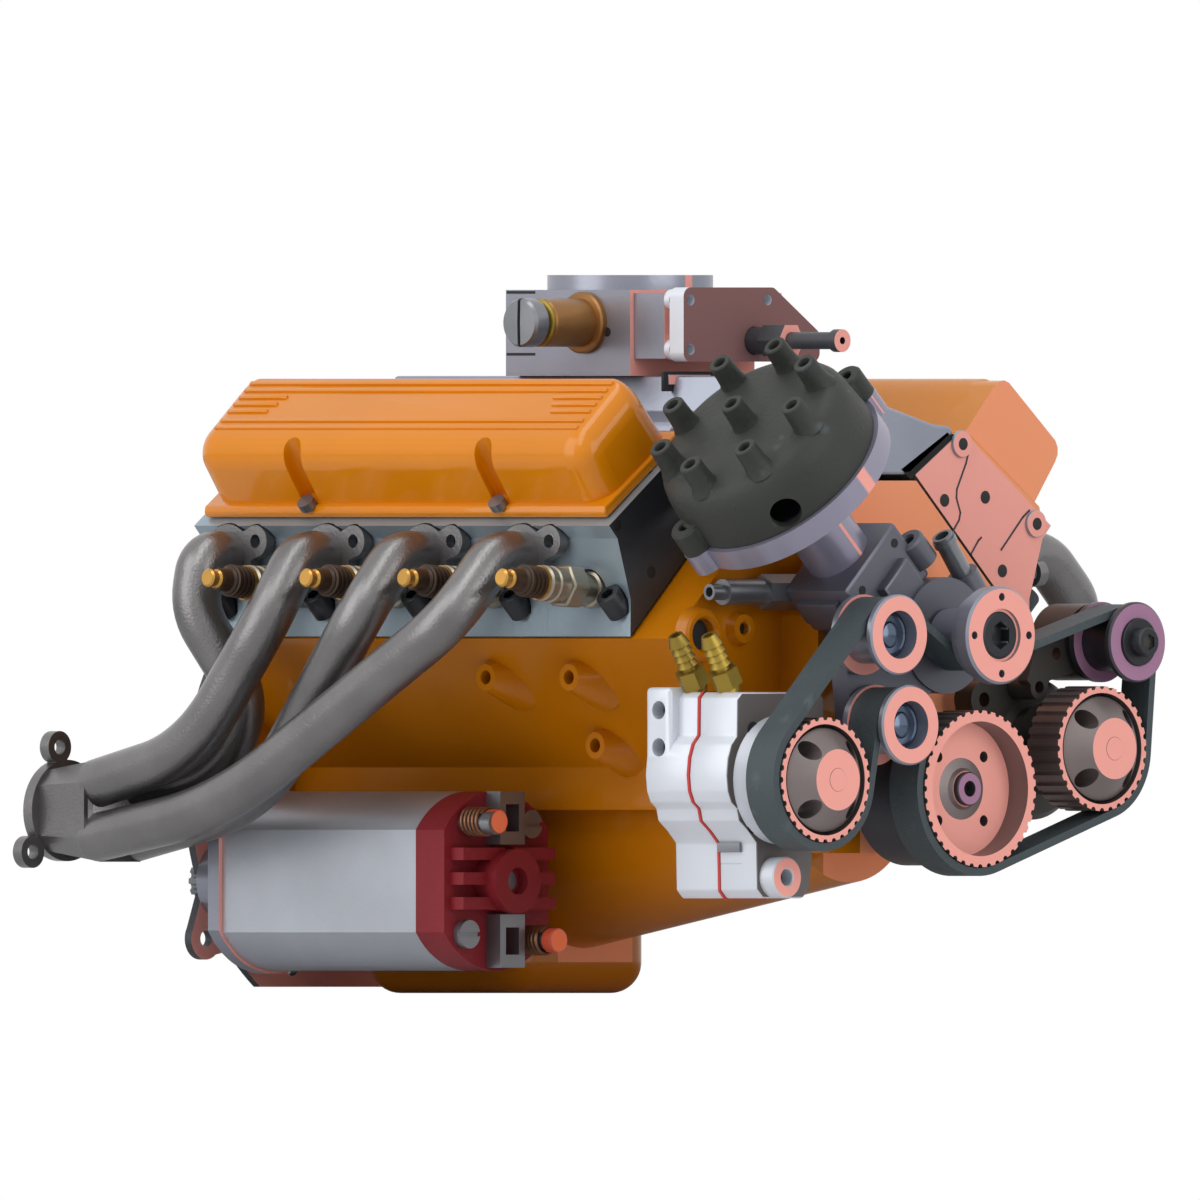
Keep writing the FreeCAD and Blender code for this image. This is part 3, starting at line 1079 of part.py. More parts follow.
def sensor_plate():
    start = "(size.throttle_place - size.throttle_half - size.valve_half_length)"
    front = "(%s - size.sensor_gap - size.sensor_plate)" % start
    base = "(size.plenum_top + size.throttle_base)"
    plate = prism([("-13.4", base), ("17.7", base), ("17.7", "size.throttle_top - 6.9"),
                   ("7.2", "size.throttle_top + 0.4"),
                   ("-13.4", "size.throttle_top + 0.4")], "front", front, "size.sensor_plate")
    rounded = smooth(plate, 1.5, lambda edge: edge.BoundBox.YLength > 2 and edge.BoundBox.XLength < 0.01)
    cuts = [rod("0.9", "9", x, front + " - 1", z) for x,
            z in (("-11.8", "79"), ("5.8", "79"), ("-11.8", "71"))]
    cuts.append(rod("size.nozzle_radius + 0.9", "9", "size.nozzle_side", front + " - 1",
                    "size.nozzle_height"))
    feet = [less(rod("1.7", "size.sensor_gap", x, start + " - size.sensor_gap", z),
                 rod("0.8", "4", x, start + " - size.sensor_gap - 1", z))
            for x, z in (("-11.8", "79"), ("-11.8", "71"), ("5.8", "79"))]
    keep(fused(less(rounded, *cuts), *feet), "sensor_plate")


def hose_nozzle():
    start = "(size.throttle_place - size.throttle_half - size.valve_half_length)"
    stem = less(turned([("0", "0"), ("size.nozzle_radius + 0.45", "0"), ("size.nozzle_radius + 0.45", "1.6"),
                        ("size.nozzle_radius", "1.6"), ("size.nozzle_radius", "%s - size.nozzle_tip" % start),
                        ("0", "%s - size.nozzle_tip" % start)],
                       "size.nozzle_side", "size.nozzle_tip", "size.nozzle_height"),
                rod("0.6", "14", "size.nozzle_side", "size.nozzle_tip - 1", "size.nozzle_height"))
    nut = hexagon("size.nozzle_hex", "5", "size.nozzle_side", "-94.5", "size.nozzle_height")
    collar = rod("size.nozzle_radius + 0.8", "6.9", "size.nozzle_side", "-89.6", "size.nozzle_height")
    keep(fused(stem, nut, collar), "hose_nozzle")


def idle_valve():
    along = "size.throttle_place - size.idle_forward"
    out = ((0, 1, 0), "-90")
    tube = less(turned([("0", "0"), ("size.idle_radius + 1.1", "0"), ("size.idle_radius + 1.1", "1"),
                        ("size.idle_radius", "1"),
                        ("size.idle_radius", "size.idle_reach"), ("0", "size.idle_reach")], along="Z"),
                rod("1.9", "20", "0", "0", "-2", "Z"))
    screw = turned([("0", "1"), ("1.8", "1"), ("1.8", "size.idle_reach + 1.8"),
                    ("size.idle_radius", "size.idle_reach + 1.8"),
                    ("size.idle_radius", "15.3"), ("0", "15.3")], along="Z")
    slotted = less(screw, block("12", "0.8", "1", "-6", "-0.4", "14.5"))
    keep(group([copy_of(tube, "-size.throttle_half", along, "size.shaft_height", out),
                copy_of(slotted, "-size.throttle_half", along, "size.shaft_height", out)]), "idle_valve")


# Timing cover and distributor

def distributor_turn():
    return ((0, 1, 0), "-size.bank_angle")


def timing_cover():
    front = "(-size.block_length - size.cover_depth)"
    half = [("13", "-10.4"), ("16", "2"), ("15.5", "28"), ("10", "38.4")]
    body = prism(both_sides(half), "front", front, "size.cover_depth")
    hollow = prism(both_sides([("10.5", "-8.4"), ("13.8", "3"), ("13.6", "26"), ("10.6", "33.2"),
                               ("5.5", "36.6")]), "front",
                   "-size.block_length - size.cover_depth + 1.6", "size.cover_depth")
    housing = copy_of(rod("size.stem_outer", "size.foot_start", along="Z"), "0", "size.drive_place",
                      "size.camshaft_height", distributor_turn())
    nose = rod("size.stem_outer + 0.4", "9.4", "0", front + " - 8.6", "size.camshaft_height")
    boss = rod("2.6", "3.2", "-15.4", "size.nipple_place", "size.nipple_height", "X")
    cuts = [hollow,
            rod("size.nose_radius + size.running_gap", "20", "0", front + " - 5"),
            rod("3.6", "16.7", "0", "size.drive_place - 3.9", "size.camshaft_height"),
            copy_of(rod("size.drive_shaft + 1.4", "30", "0", "0", "0", "Z"), "0", "size.drive_place",
                    "size.camshaft_height", distributor_turn()),
            copy_of(rod("size.foot_radius + 0.1", "30", "0", "0", "size.foot_start - 0.02", "Z"), "0",
                    "size.drive_place", "size.camshaft_height", distributor_turn())]
    keep(less(fused(body, housing, nose, boss), *cuts), "timing_cover")


def distributor_housing():
    ring_end = "(size.ring_start + size.ring_height)"
    form = turned([("0", "size.foot_start"), ("size.foot_radius", "size.foot_start"),
                   ("size.foot_radius", "size.foot_start + 2.5"),
                   ("size.stem_outer", "size.foot_start + 2.5"), ("size.stem_outer", "size.ring_start - 6"),
                   ("size.ring_radius - 2", "size.ring_start"), ("size.ring_radius", "size.ring_start"),
                   ("size.ring_radius", ring_end), ("0", ring_end)], along="Z")
    lugs = []
    for turn in ("0", "180"):
        lug = fused(rod("size.lug_radius", "size.ring_height", "size.lug_circle", "0", "size.ring_start",
                        "Z"))
        lugs.append(copy_of(lug, turn=((0, 0, 1), "-size.lug_turn + %s" % turn)))
    hollow = [rod("size.drive_shaft + size.running_gap", "60", "0", "0", "0", "Z"),
              rod("size.cap_radius - 3", "10", "0", "0", "size.ring_start + 1", "Z")]
    upright = less(fused(form, *lugs), *hollow)
    keep(place(upright, "0", "size.drive_place", "size.camshaft_height", distributor_turn()),
         "distributor_housing")


def distributor_cap():
    start = "(size.ring_start + size.ring_height + 0.02)"
    shell = turned([("0", start), ("size.cap_radius", start), ("size.cap_radius", start + " + 3"),
                    ("size.cap_radius - 0.8", "size.cap_top - 2.6"),
                    ("size.cap_radius - 3.2", "size.cap_top"),
                    ("0", "size.cap_top")], along="Z")
    rounded = smooth(shell, 1.4, lambda edge: edge.BoundBox.ZLength < 0.01 and edge.CenterOfMass.z > 45
                     and edge.Length > 20)
    tower = rod("size.tower_radius", "size.tower_tip - size.cap_top + 2", "0", "0", "size.cap_top - 2", "Z")
    socket = rod("size.tower_bore", "3.2", "0", "0", "size.tower_tip - 3", "Z")
    towers = [copy_of(tower)]
    sockets = [copy_of(socket)]
    for number in range(8):
        towers.append(copy_of(tower, "size.tower_circle * cos(%d * 45)" % number,
                              "size.tower_circle * sin(%d * 45)" % number))
        sockets.append(copy_of(socket, "size.tower_circle * cos(%d * 45)" % number,
                               "size.tower_circle * sin(%d * 45)" % number))
    lugs = []
    for turn in ("0", "180"):
        lug = less(rod("size.lug_radius", "4.6", "size.lug_circle", "0", start, "Z"),
                   rod("1", "8", "size.lug_circle", "0", start + " - 1", "Z"))
        lugs.append(copy_of(lug, turn=((0, 0, 1), "-size.lug_turn + %s" % turn)))
    inside = rod("size.cap_radius - size.cap_wall - 1", "size.cap_top - size.cap_wall - %s + 1" % start, "0",
                 "0",
                 start + " - 1", "Z")
    port = rod("1.9", "8", "13", "0", start + " + 4.2", "X")
    side_port = copy_of(port, turn=((0, 0, 1), "-112"))
    upright = less(fused(rounded, *towers, *lugs), inside, side_port, *sockets)
    keep(place(upright, "0", "size.drive_place", "size.camshaft_height", distributor_turn()),
         "distributor_cap")


def distributor_rotor():
    shaft_start = "4.2"
    shaft = turned([("0", shaft_start), ("3.1", shaft_start), ("3.1", shaft_start + " + 2.2"),
                    ("size.drive_shaft", shaft_start + " + 3.4"),
                    ("size.drive_shaft", "size.ring_start + 6"), ("0", "size.ring_start + 6")], along="Z")
    hub = rod("4.2", "4.4", "0", "0", "size.ring_start + 3", "Z")
    arm = block("size.rotor_radius", "3.4", "2.2", "0", "-1.7", "size.ring_start + 5.2")
    keep(place(fused(shaft, hub, arm), "0", "size.drive_place", "size.camshaft_height", distributor_turn()),
         "distributor_rotor")


def camshaft():
    length_start = "(size.drive_place + 2)"
    shaft = rod("size.camshaft_radius", "-1 * %s - 4" % length_start, "0", length_start)
    pieces = [shaft]
    for number in range(5):
        pieces.append(rod("size.cam_journal", "size.web_thickness", "0",
                          main_place(number) + " - size.web_thickness / 2"))
    base = "(size.cam_journal - 0.7 - size.lobe_lift)"
    turns = (0, 215, 125, 340, 250, 35, 305, 160)
    for bank, side in enumerate((NEAR, FAR)):
        for number in CYLINDERS:
            for order, offset in enumerate(("size.valve_spread", "-size.valve_spread")):
                along = "%s + %s - 1.3" % (bore_place(side, number), offset)
                lobe = fused(rod(base, "2.6"), rod(base + " - 0.9", "2.6", "0", "0", "size.lobe_lift + 0.9"))
                turn = turns[2 * number + bank] + 107 * order
                pieces.append(copy_of(lobe, "0", along, "0", ((0, 1, 0), str(turn % 360))))
    sprocket = rod("size.cam_sprocket", "size.chain_width", "0",
                   "-size.block_length - size.chain_width - 1.4")
    bevel = turned([("0", "0"), ("1.6", "0"), ("3.2", "2.2"), ("3.2", "4"), ("0", "4")],
                   "0", "size.drive_place - 1.6")
    keep(place(fused(*pieces, sprocket, bevel), "0", "0", "size.camshaft_height"), "camshaft")


def timing_chain():
    """A chain band round the two sprockets, as a plain closed strip."""
    def band(grow):
        low = "size.crank_sprocket + size.chain_clearance + %s" % grow
        high = "size.cam_sprocket + size.chain_clearance + %s" % grow
        start = "-size.block_length - size.chain_width - 1.4"
        slope = "asin((size.cam_sprocket - size.crank_sprocket) / size.camshaft_height)"
        half = [("(%s) * cos(%s)" % (low, slope), "-1 * (%s) * sin(%s)" % (low, slope)),
                ("(%s) * cos(%s)" % (high, slope), "size.camshaft_height - (%s) * sin(%s)" % (high, slope))]
        return fused(rod(low, "size.chain_width", "0", start),
                     rod(high, "size.chain_width", "0", start, "size.camshaft_height"),
                     prism(both_sides(half), "front", start, "size.chain_width"))

    inside = place(group([band("0")]), "0", "0", "0")
    keep(less(band("size.chain_thickness"), inside), "timing_chain")


# Belt drive

def toothed_wheel(radius, teeth, gap, width, bore):
    """A PartDesign body: a disc along Y from its own origin, with round tooth gaps cut into its rim."""
    body = document.addObject("PartDesign::Body", "toothed_wheel")
    plane = [item for item in body.Origin.OriginFeatures if item.Role == "XZ_Plane"][0]

    def sketch_of(circles):
        sketch = body.newObject("Sketcher::SketchObject", "wheel_sketch")
        sketch.AttachmentSupport = [(plane, "")]
        sketch.MapMode = "FlatFace"
        for number, (size, sideways) in enumerate(circles):
            sketch.addGeometry(Part.Circle(FreeCAD.Vector(10 * number, 0, 0), FreeCAD.Vector(0, 0, 1), 1))
            for kind, expression in (("DistanceX", sideways), ("DistanceY", "0")):
                index = sketch.addConstraint(Sketcher.Constraint(kind, -1, 1, number, 3, 1.0))
                sketch.setExpression("Constraints[%d]" % index, expression)
            index = sketch.addConstraint(Sketcher.Constraint("Radius", number, 1.0))
            sketch.setExpression("Constraints[%d]" % index, size)
        return sketch

    pad = body.newObject("PartDesign::Pad", "disc")
    pad.Profile = sketch_of([(radius, "0"), (bore, "0")])
    pad.Reversed = True
    pad.setExpression("Length", width)
    document.recompute()
    pocket = body.newObject("PartDesign::Pocket", "tooth_gap")
    pocket.Profile = sketch_of([(gap, radius)])
    pocket.Type = "ThroughAll"
    document.recompute()
    pattern = body.newObject("PartDesign::PolarPattern", "tooth_gaps")
    pattern.Originals = [pocket]
    pattern.Axis = (pocket.Profile[0], ["N_Axis"])
    pattern.Angle = 360
    pattern.setExpression("Occurrences", teeth)
    body.Tip = pattern
    return body


def spokes(radius, circle, length, start="-1"):
    """Four round holes through a pulley's web."""
    holes = []
    for number in range(4):
        angle = "%d * 90 + 45" % number
        holes.append(rod(radius, length, "%s * cos(%s)" % (circle, angle), start,
                         "%s * sin(%s)" % (circle, angle)))
    return holes


def crank_pulley():
    """The toothed crankshaft pulley with its deep front recess."""
    rim = toothed_wheel("size.crank_pulley_radius", "size.crank_teeth", "size.tooth_gap", "size.pulley_width",
                        "size.nose_radius")
    recess = turned([("3.6", "-1"), ("10.9", "-1"), ("10.9", "4.4"), ("3.6", "4.4")])
    hub = turned([("1.2", "3.4"), ("2.9", "3.4"), ("3.4", "4"), ("size.nose_radius + 0.5", "4.4"),
                  ("size.nose_radius + 0.5", "size.pulley_width"), ("1.2", "size.pulley_width")])
    pulley = fused(less(rim, recess, *spokes("0.9", "7.3", "12")), hub)
    keep(place(pulley, "0", "size.pulley_front"), "crank_pulley")


def crank_damper():
    start = "(size.pulley_front + size.pulley_width)"
    drum = turned([("size.nose_radius + 0.02", "0.2"), ("size.damper_radius - 1", "0.2"),
                   ("size.damper_radius", "1"),
                   ("size.damper_radius", "size.damper_length"),
                   ("size.damper_radius - 2", "size.damper_length"),
                   ("size.damper_radius - 2", "3"), ("7", "3"), ("7", "size.damper_length"),
                   ("size.nose_radius + 0.02", "size.damper_length")], "0", start)
    keep(drum, "crank_damper")


def crank_ends():
    """The crankshaft's nose with its front journal and sprocket, and its rear journal with its flange."""
    nose_start = "(size.pulley_front + size.pulley_width + 0.05)"
    front_main = "(%s + size.web_thickness / 2)" % main_place(4)
    sprocket = "(-size.block_length - size.chain_width - 1.4)"
    nose = turned([("0", nose_start), ("size.nose_radius", nose_start), ("size.nose_radius", sprocket),
                   ("size.crank_sprocket", sprocket),
                   ("size.crank_sprocket", sprocket + " + size.chain_width"),
                   ("size.nose_radius", sprocket + " + size.chain_width"),
                   ("size.nose_radius", "-size.block_length + 1"),
                   ("size.journal_radius", "-size.block_length + 1"), ("size.journal_radius", front_main),
                   ("0", front_main)])
    rear = "(size.flywheel_place - 0.05)"
    tail_start = "(%s - size.web_thickness / 2)" % main_place(0)
    tail = turned([("0", tail_start), ("size.journal_radius", tail_start),
                   ("size.journal_radius", "size.rear_plate + 0.5"),
                   ("9", "size.rear_plate + 0.5"), ("9", rear), ("0", rear)])
    keep(group([nose, tail]), "crank_ends")


def flywheel():
    wheel = toothed_wheel("size.flywheel_radius", "size.flywheel_teeth", "size.flywheel_gap",
                          "size.flywheel_thickness",
                          "2")
    cuts = [turned([("11", "1.4"), ("26", "1.4"), ("26", "size.flywheel_thickness + 1"),
                    ("11", "size.flywheel_thickness + 1")])]
    for number in range(6):
        angle = "%d * 60" % number
        cuts.append(rod("0.9", "6", "6.5 * cos(%s)" % angle, "-1", "6.5 * sin(%s)" % angle))
    keep(place(less(wheel, *cuts), "0", "size.flywheel_place"), "flywheel")


def small_pulley(label, x, z, shaft_end, extra=None):
    """A dished toothed pulley on its own shaft."""
    rim = toothed_wheel("size.small_pulley_radius", "size.small_teeth", "size.tooth_gap", "size.pulley_width",
                        "1.9")
    dish = turned([("9", "-1"), ("9", "3.2"), ("4.95", "-2.8"), ("4.95", "-4"), ("9", "-4")])
    nose = turned([("1.9", "-2.9"), ("4.95", "-2.9"), ("8.4", "0.4"), ("8.4", "3"), ("1.9", "3")])
    back = turned([("3.2", "5"), ("9", "5"), ("9", "9"), ("3.2", "9")])
    wheel = less(fused(less(rim, dish), nose), back, *spokes("size.spoke_hole", "size.spoke_circle", "14", "-4"))
    shaft_length = "(%s - size.pulley_front + 2.9)" % shaft_end
    shaft = turned([("0", "-2.95"), ("1.85", "-2.95"), ("1.85", "size.pulley_width"),
                    ("2.4", "size.pulley_width"),
                    ("2.4", shaft_length + " - 2.9"), ("0", shaft_length + " - 2.9")])
    pieces = [wheel, shaft]
    if extra:
        pieces.append(extra)
    keep(place(group(pieces), x, "size.pulley_front", z), label)


def idler(label, x, z, solid=False):
    """A flanged idler; the tensioner's has a closed face."""
    rim = "size.idler_rim"
    width = "(size.belt_width + 2 * size.idler_rim + 0.7)"
    bore = "size.idler_bore"
    corners = [(bore, "0"), ("size.idler_flange - 0.3", "0"), ("size.idler_flange", "0.3"),
               ("size.idler_flange", rim),
               ("size.idler_drum", rim + " + 0.1"), ("size.idler_drum", width + " - " + rim),
               ("size.idler_flange", width + " - " + rim), ("size.idler_flange", width), (bore, width)]
    pulley = turned(corners)
    if solid:
        web = turned([("size.post_radius * 0.4 + 0.05", "0.6"), (bore, "0.6"), (bore, width),
                      ("size.post_radius * 0.4 + 0.05", width)])
        pulley = fused(pulley, web)
    keep(place(pulley, x, "size.idler_front", z), label)


def water_pump_hub():
    hub = turned([("0", "3"), ("2.2", "3"), ("2.2", "0.6"), ("4.3", "0.6"), ("4.3", "0"),
                  ("size.water_flange - 0.4", "0"),
                  ("size.water_flange", "0.4"), ("size.water_flange", "2.6"), ("5.2", "2.7"), ("5.2", "3.4"),
                  ("size.water_flange - 1", "3.5"), ("size.water_flange - 1", "4.6"),
                  ("size.water_drum", "4.7"),
                  ("size.water_drum", "12.2"), ("2.2", "12.3"), ("2.2", "14"), ("0", "14")])
    holes = []
    for number in range(4):
        angle = "%d * 90" % number
        holes.append(rod("0.65", "4", "6.2 * cos(%s)" % angle, "-1", "6.2 * sin(%s)" % angle))
    impeller = fused(rod("6.6", "0.6", "0", "14.8"), rod("2.2", "1.8", "0", "13.6"),
                     block("12.6", "1.3", "0.8", "-6.3", "13.6", "-0.4"),
                     block("0.8", "1.3", "12.6", "-0.4", "13.6", "-6.3"))
    keep(place(fused(less(hub, *holes), impeller), "0", "size.water_front", "size.water_height"),
         "water_pump_hub")


def belt_wheels():
    """The belt's wheels clockwise from the tensioner: place, contact radius, and 1 inside or -1 outside."""
    toothed_crank = SIZE["crank_pulley_radius"] + SIZE["belt_gap"]
    toothed_small = SIZE["small_pulley_radius"] + SIZE["belt_gap"]
    plain = SIZE["idler_drum"] + SIZE["belt_gap"]
    return [(SIZE["tension_side"], SIZE["tension_height"], plain, 1),
            (SIZE["accessory_side"], SIZE["accessory_height"], toothed_small, 1),
            (0, 0, toothed_crank, 1),
            (SIZE["lower_side"], SIZE["lower_height"], plain, -1),
            (SIZE["oil_side"], SIZE["oil_height"], toothed_small, 1),
            (SIZE["upper_side"], SIZE["upper_height"], plain, 1),
            (0, SIZE["water_height"], SIZE["water_drum"] + SIZE["belt_gap"], -1)]


def belt_wire(grow, start):
    """The belt's line, moved outwards by an amount: straight spans and the arcs round its wheels."""
    thickness = SIZE["belt_thickness"]
    wheels = [(x, z, sense * (radius + thickness / 2) + grow, sense) for x, z, radius, sense in belt_wheels()]
    headings = []
    for number, (x, z, reach, sense) in enumerate(wheels):
        next_x, next_z, next_reach, _ = wheels[(number + 1) % len(wheels)]
        distance = math.hypot(next_x - x, next_z - z)
        headings.append(math.atan2(next_z - z, next_x - x) - math.asin((reach - next_reach) / distance))

    def point(number, angle):
        x, z, reach, _ = wheels[number % len(wheels)]
        return FreeCAD.Vector(x + reach * math.cos(angle), start, z + reach * math.sin(angle))

    edges = []
    for number in range(len(wheels)):
        sense = wheels[number][3]
        arrive = headings[number - 1] + math.pi / 2
        leave = headings[number] + math.pi / 2
        while sense * (arrive - leave) < 0:
            leave -= sense * 2 * math.pi
        first, last = point(number, arrive), point(number, leave)
        edges.append(Part.Arc(first, point(number, (arrive + leave) / 2), last).toShape())
        edges.append(Part.LineSegment(last, point(number + 1, leave)).toShape())
    return Part.Wire(edges)


def drive_belt():
    start = SIZE["pulley_front"] + (SIZE["pulley_width"] - SIZE["belt_width"]) / 2
    half = SIZE["belt_thickness"] / 2
    outer = Part.Face(belt_wire(half, start))
    inner = Part.Face(belt_wire(-half, start))
    width = FreeCAD.Vector(0, SIZE["belt_width"], 0)
    belt = document.addObject("Part::Feature", "belt")
    belt.Shape = outer.extrude(width).cut(inner.extrude(width))
    belt.Placement = FreeCAD.Placement()
    keep(belt, "drive_belt")


# Pumps and accessories

def water_pump_housing():
    """The pump's flat body on three pillars, with the arm that carries the two near idlers."""
    start = "size.water_body_front"
    body = rod("size.water_body", "size.water_body_rear - size.water_body_front", "0", start,
               "size.water_height")
    arm = prism([("0", "size.water_height + 6.5"), ("size.upper_side", "size.upper_height + 4.6"),
                 ("size.upper_side - 3.2", "size.upper_height"), ("size.lower_side - 4", "size.lower_height"),
                 ("size.lower_side", "size.lower_height - 5"), ("0", "size.water_height - 7")], "front",
                "size.arm_front", "3.6")
    pillars = []
    for x, z in (("8.2", "20.2"), ("-8.2", "20.2"), ("8.2", "29.6")):
        pillars.append(rod("2", "-size.block_length - size.cover_depth - size.water_body_rear + 0.95", x,
                           "size.water_body_rear - 1", z))
    posts = []
    for x, z in (("size.upper_side", "size.upper_height"), ("size.lower_side", "size.lower_height")):
        posts.append(rod("size.idler_bore - 0.4", "size.arm_front - size.idler_front - 3.4 + 0.5", x,
                         "size.idler_front + 3.4", z))
    outlet = copy_of(rod("2.6", "5.5", "0", "0", "-5", "Z"), "size.spout_side", "size.spout_place",
                     "size.spout_height", ((0, 1, 0), "-37"))
    hollow = rod("7.2", "2.3", "0", "size.water_front + 13.4", "size.water_height")
    shaft = rod("2.25", "3", "0", "size.water_front + 12", "size.water_height")
    keep(less(fused(body, arm, outlet, *pillars, *posts), hollow, shaft), "water_pump_housing")


def coolant_nipples():
    """A spout slanting up from the water pump, and a hose nipple on the timing cover's near side."""
    spout = less(fused(rod("size.nipple_radius", "7.6", along="Z"),
                       rod("size.nipple_radius + 0.3", "1", "0", "0", "6", "Z")),
                 rod("size.nipple_radius - 0.5", "9", "0", "0", "-1", "Z"))
    near = less(fused(hexagon("2.9", "8", "0", "0", "0", "Z"), rod("2.1", "17", "0", "0", "0", "Z"),
                      rod("1.3", "20", "0", "0", "0", "Z")),
                rod("0.8", "24", "0", "0", "-1", "Z"))
    keep(group([place(group([spout]), "size.spout_side - 0.53 * sin(37)", "size.spout_place",
                      "size.spout_height + 0.53 * cos(37)", ((0, 1, 0), "-37")),
                place(group([near]), "-15.45", "size.nipple_place", "size.nipple_height",
                      ((0, 1, 0), "-90"))]),
         "coolant_nipples")


def oil_pump_outline():
    """The oil pump's outline from the front, without its round bulge."""
    return [("-44.3", "15.2"), ("-44.3", "1.45"), ("-40.6", "-6"), ("-40.6", "-17.9"), ("-30", "-17.9"),
            ("-27", "-9"), ("-25.4", "1.45"), ("-25.4", "15.2")]


def oil_pump():
    through = rod("2.4 + size.running_gap", "30", "size.oil_side", "size.oil_front - 6", "size.oil_height")
    rooms = [rod("size.oil_gear + 0.1", "size.oil_gear_length + 0.2", "size.oil_side",
                 "size.oil_split - size.oil_gear_length - 0.2", z)
             for z in ("size.oil_height", "size.oil_height - size.oil_gear_distance")]
    collar = rod("5.6", "2.9", "size.oil_side", "size.oil_front - 2.85", "size.oil_height")
    front_length = "(size.oil_split - size.oil_front)"
    front = fused(prism(oil_pump_outline(), "front", "size.oil_front", front_length),
                  rod("size.oil_bulge", front_length, "size.oil_side", "size.oil_front", "size.oil_height"),
                  collar)
    keep(less(front, through, *rooms), "oil_pump_front")
    rear_start = "(size.oil_split + size.oil_gasket)"
    rear_length = "(size.oil_rear - %s)" % rear_start
    flange = prism([("-47.6", "15.2"), ("-47.6", "3"), ("-44", "3"), ("-44", "15.2")], "front",
                   "size.oil_rear - 2.4", "2.4")
    standoff = less(rod("2.9", "16", "-31.5", "size.oil_rear - 15.8", "-14.7"),
                    rod("1.2", "20", "-31.5", "size.oil_rear - 17", "-14.7"))
    bridge = block("8", "-size.block_length - 0.05 - size.oil_rear", "8", "-26", "size.oil_rear", "4")
    rear = fused(prism(oil_pump_outline(), "front", rear_start, rear_length),
                 rod("size.oil_bulge", rear_length, "size.oil_side", rear_start, "size.oil_height"), flange,
                 bridge)
    holes = [rod("1.2", "8", "-45.9", "size.oil_rear - 4", z) for z in ("12.6", "6.8")]
    keep(less(rear,
              rod("2.4 + size.running_gap", "5.2", "size.oil_side", rear_start + " - 1", "size.oil_height"),
              *holes),
         "oil_pump_rear")
    seal = less(fused(prism(oil_pump_outline(), "front", "size.oil_split", "size.oil_gasket"),
                      rod("size.oil_bulge", "size.oil_gasket", "size.oil_side", "size.oil_split",
                          "size.oil_height")),
                rod("size.oil_gear + 0.2", "2", "size.oil_side", "size.oil_split - 1", "size.oil_height"))
    keep(seal, "oil_pump_gasket")
    gear = toothed_wheel("size.oil_gear", "size.oil_gear_teeth", "size.oil_gear_gap", "size.oil_gear_length",
                         "0.9")
    keep(place(copy_of(gear, turn=((0, 1, 0), "180 / size.oil_gear_teeth")), "size.oil_side",
               "size.oil_split - size.oil_gear_length - 0.1", "size.oil_height - size.oil_gear_distance"),
         "oil_pump_idle_gear")


def oil_drive_gear():
    """The oil pump's upper gear, placed for its pulley's own shaft."""
    gear = toothed_wheel("size.oil_gear", "size.oil_gear_teeth", "size.oil_gear_gap", "size.oil_gear_length", "2.4")
    return place(copy_of(gear), "0", "size.oil_split - size.oil_gear_length - 0.1 - size.pulley_front")


def pump_nipples():
    """Two brass barbed nipples leaning to the near side, on hexagons on top of the oil pump."""
    barbs = [("0", "0"), ("size.barb_radius - 0.2", "0")]
    for number in range(4):
        level = "%s" % (1.8 + 1.25 * number)
        barbs.append(("size.barb_radius - 0.35", level))
        barbs.append(("size.barb_radius + 0.3", level))
    barbs += [("size.barb_radius - 0.3", "7.4"), ("0", "7.4")]
    nipple = less(fused(turned(barbs, "0", "0", "2", "Z"), hexagon("2.5", "3", "0", "0", "0", "Z")),
                  rod("0.8", "12", "0", "0", "-1", "Z"))
    keep(group([fused(copy_of(nipple, "-42", along, "16.7", ((0, 1, 0), "-size.barb_lean")),
                      rod("1.9", "2.4", "-42", along, "15.22", "Z"))
                for along in ("-125", "-117.5")]), "pump_nipples")


def accessory_housing():
    start = "size.accessory_front"
    body = turned([("2.45", "0"), ("size.accessory_body - 4", "0"), ("size.accessory_body - 4", "1.6"),
                   ("size.accessory_body - 1", "2.4"),
                   ("size.accessory_body", "3.6"), ("size.accessory_body", "size.accessory_length"),
                   ("2.45", "size.accessory_length")], "size.accessory_side", start, "size.accessory_height")
    ear = fused(rod("3", "3.9", "15.4", start + " + 2", "14.4"),
                prism([("15", "17"), ("24", "17"), ("24", "8"), ("13.5", "11.5")], "front", start + " + 2",
                      "3.9"))
    foot = block("12", "4", "14", "16.4", start + " + size.accessory_length - 4", "0")
    keep(less(fused(body, ear, foot), rod("1.2", "10", "15.4", start + " + 1", "14.4")), "accessory_housing")


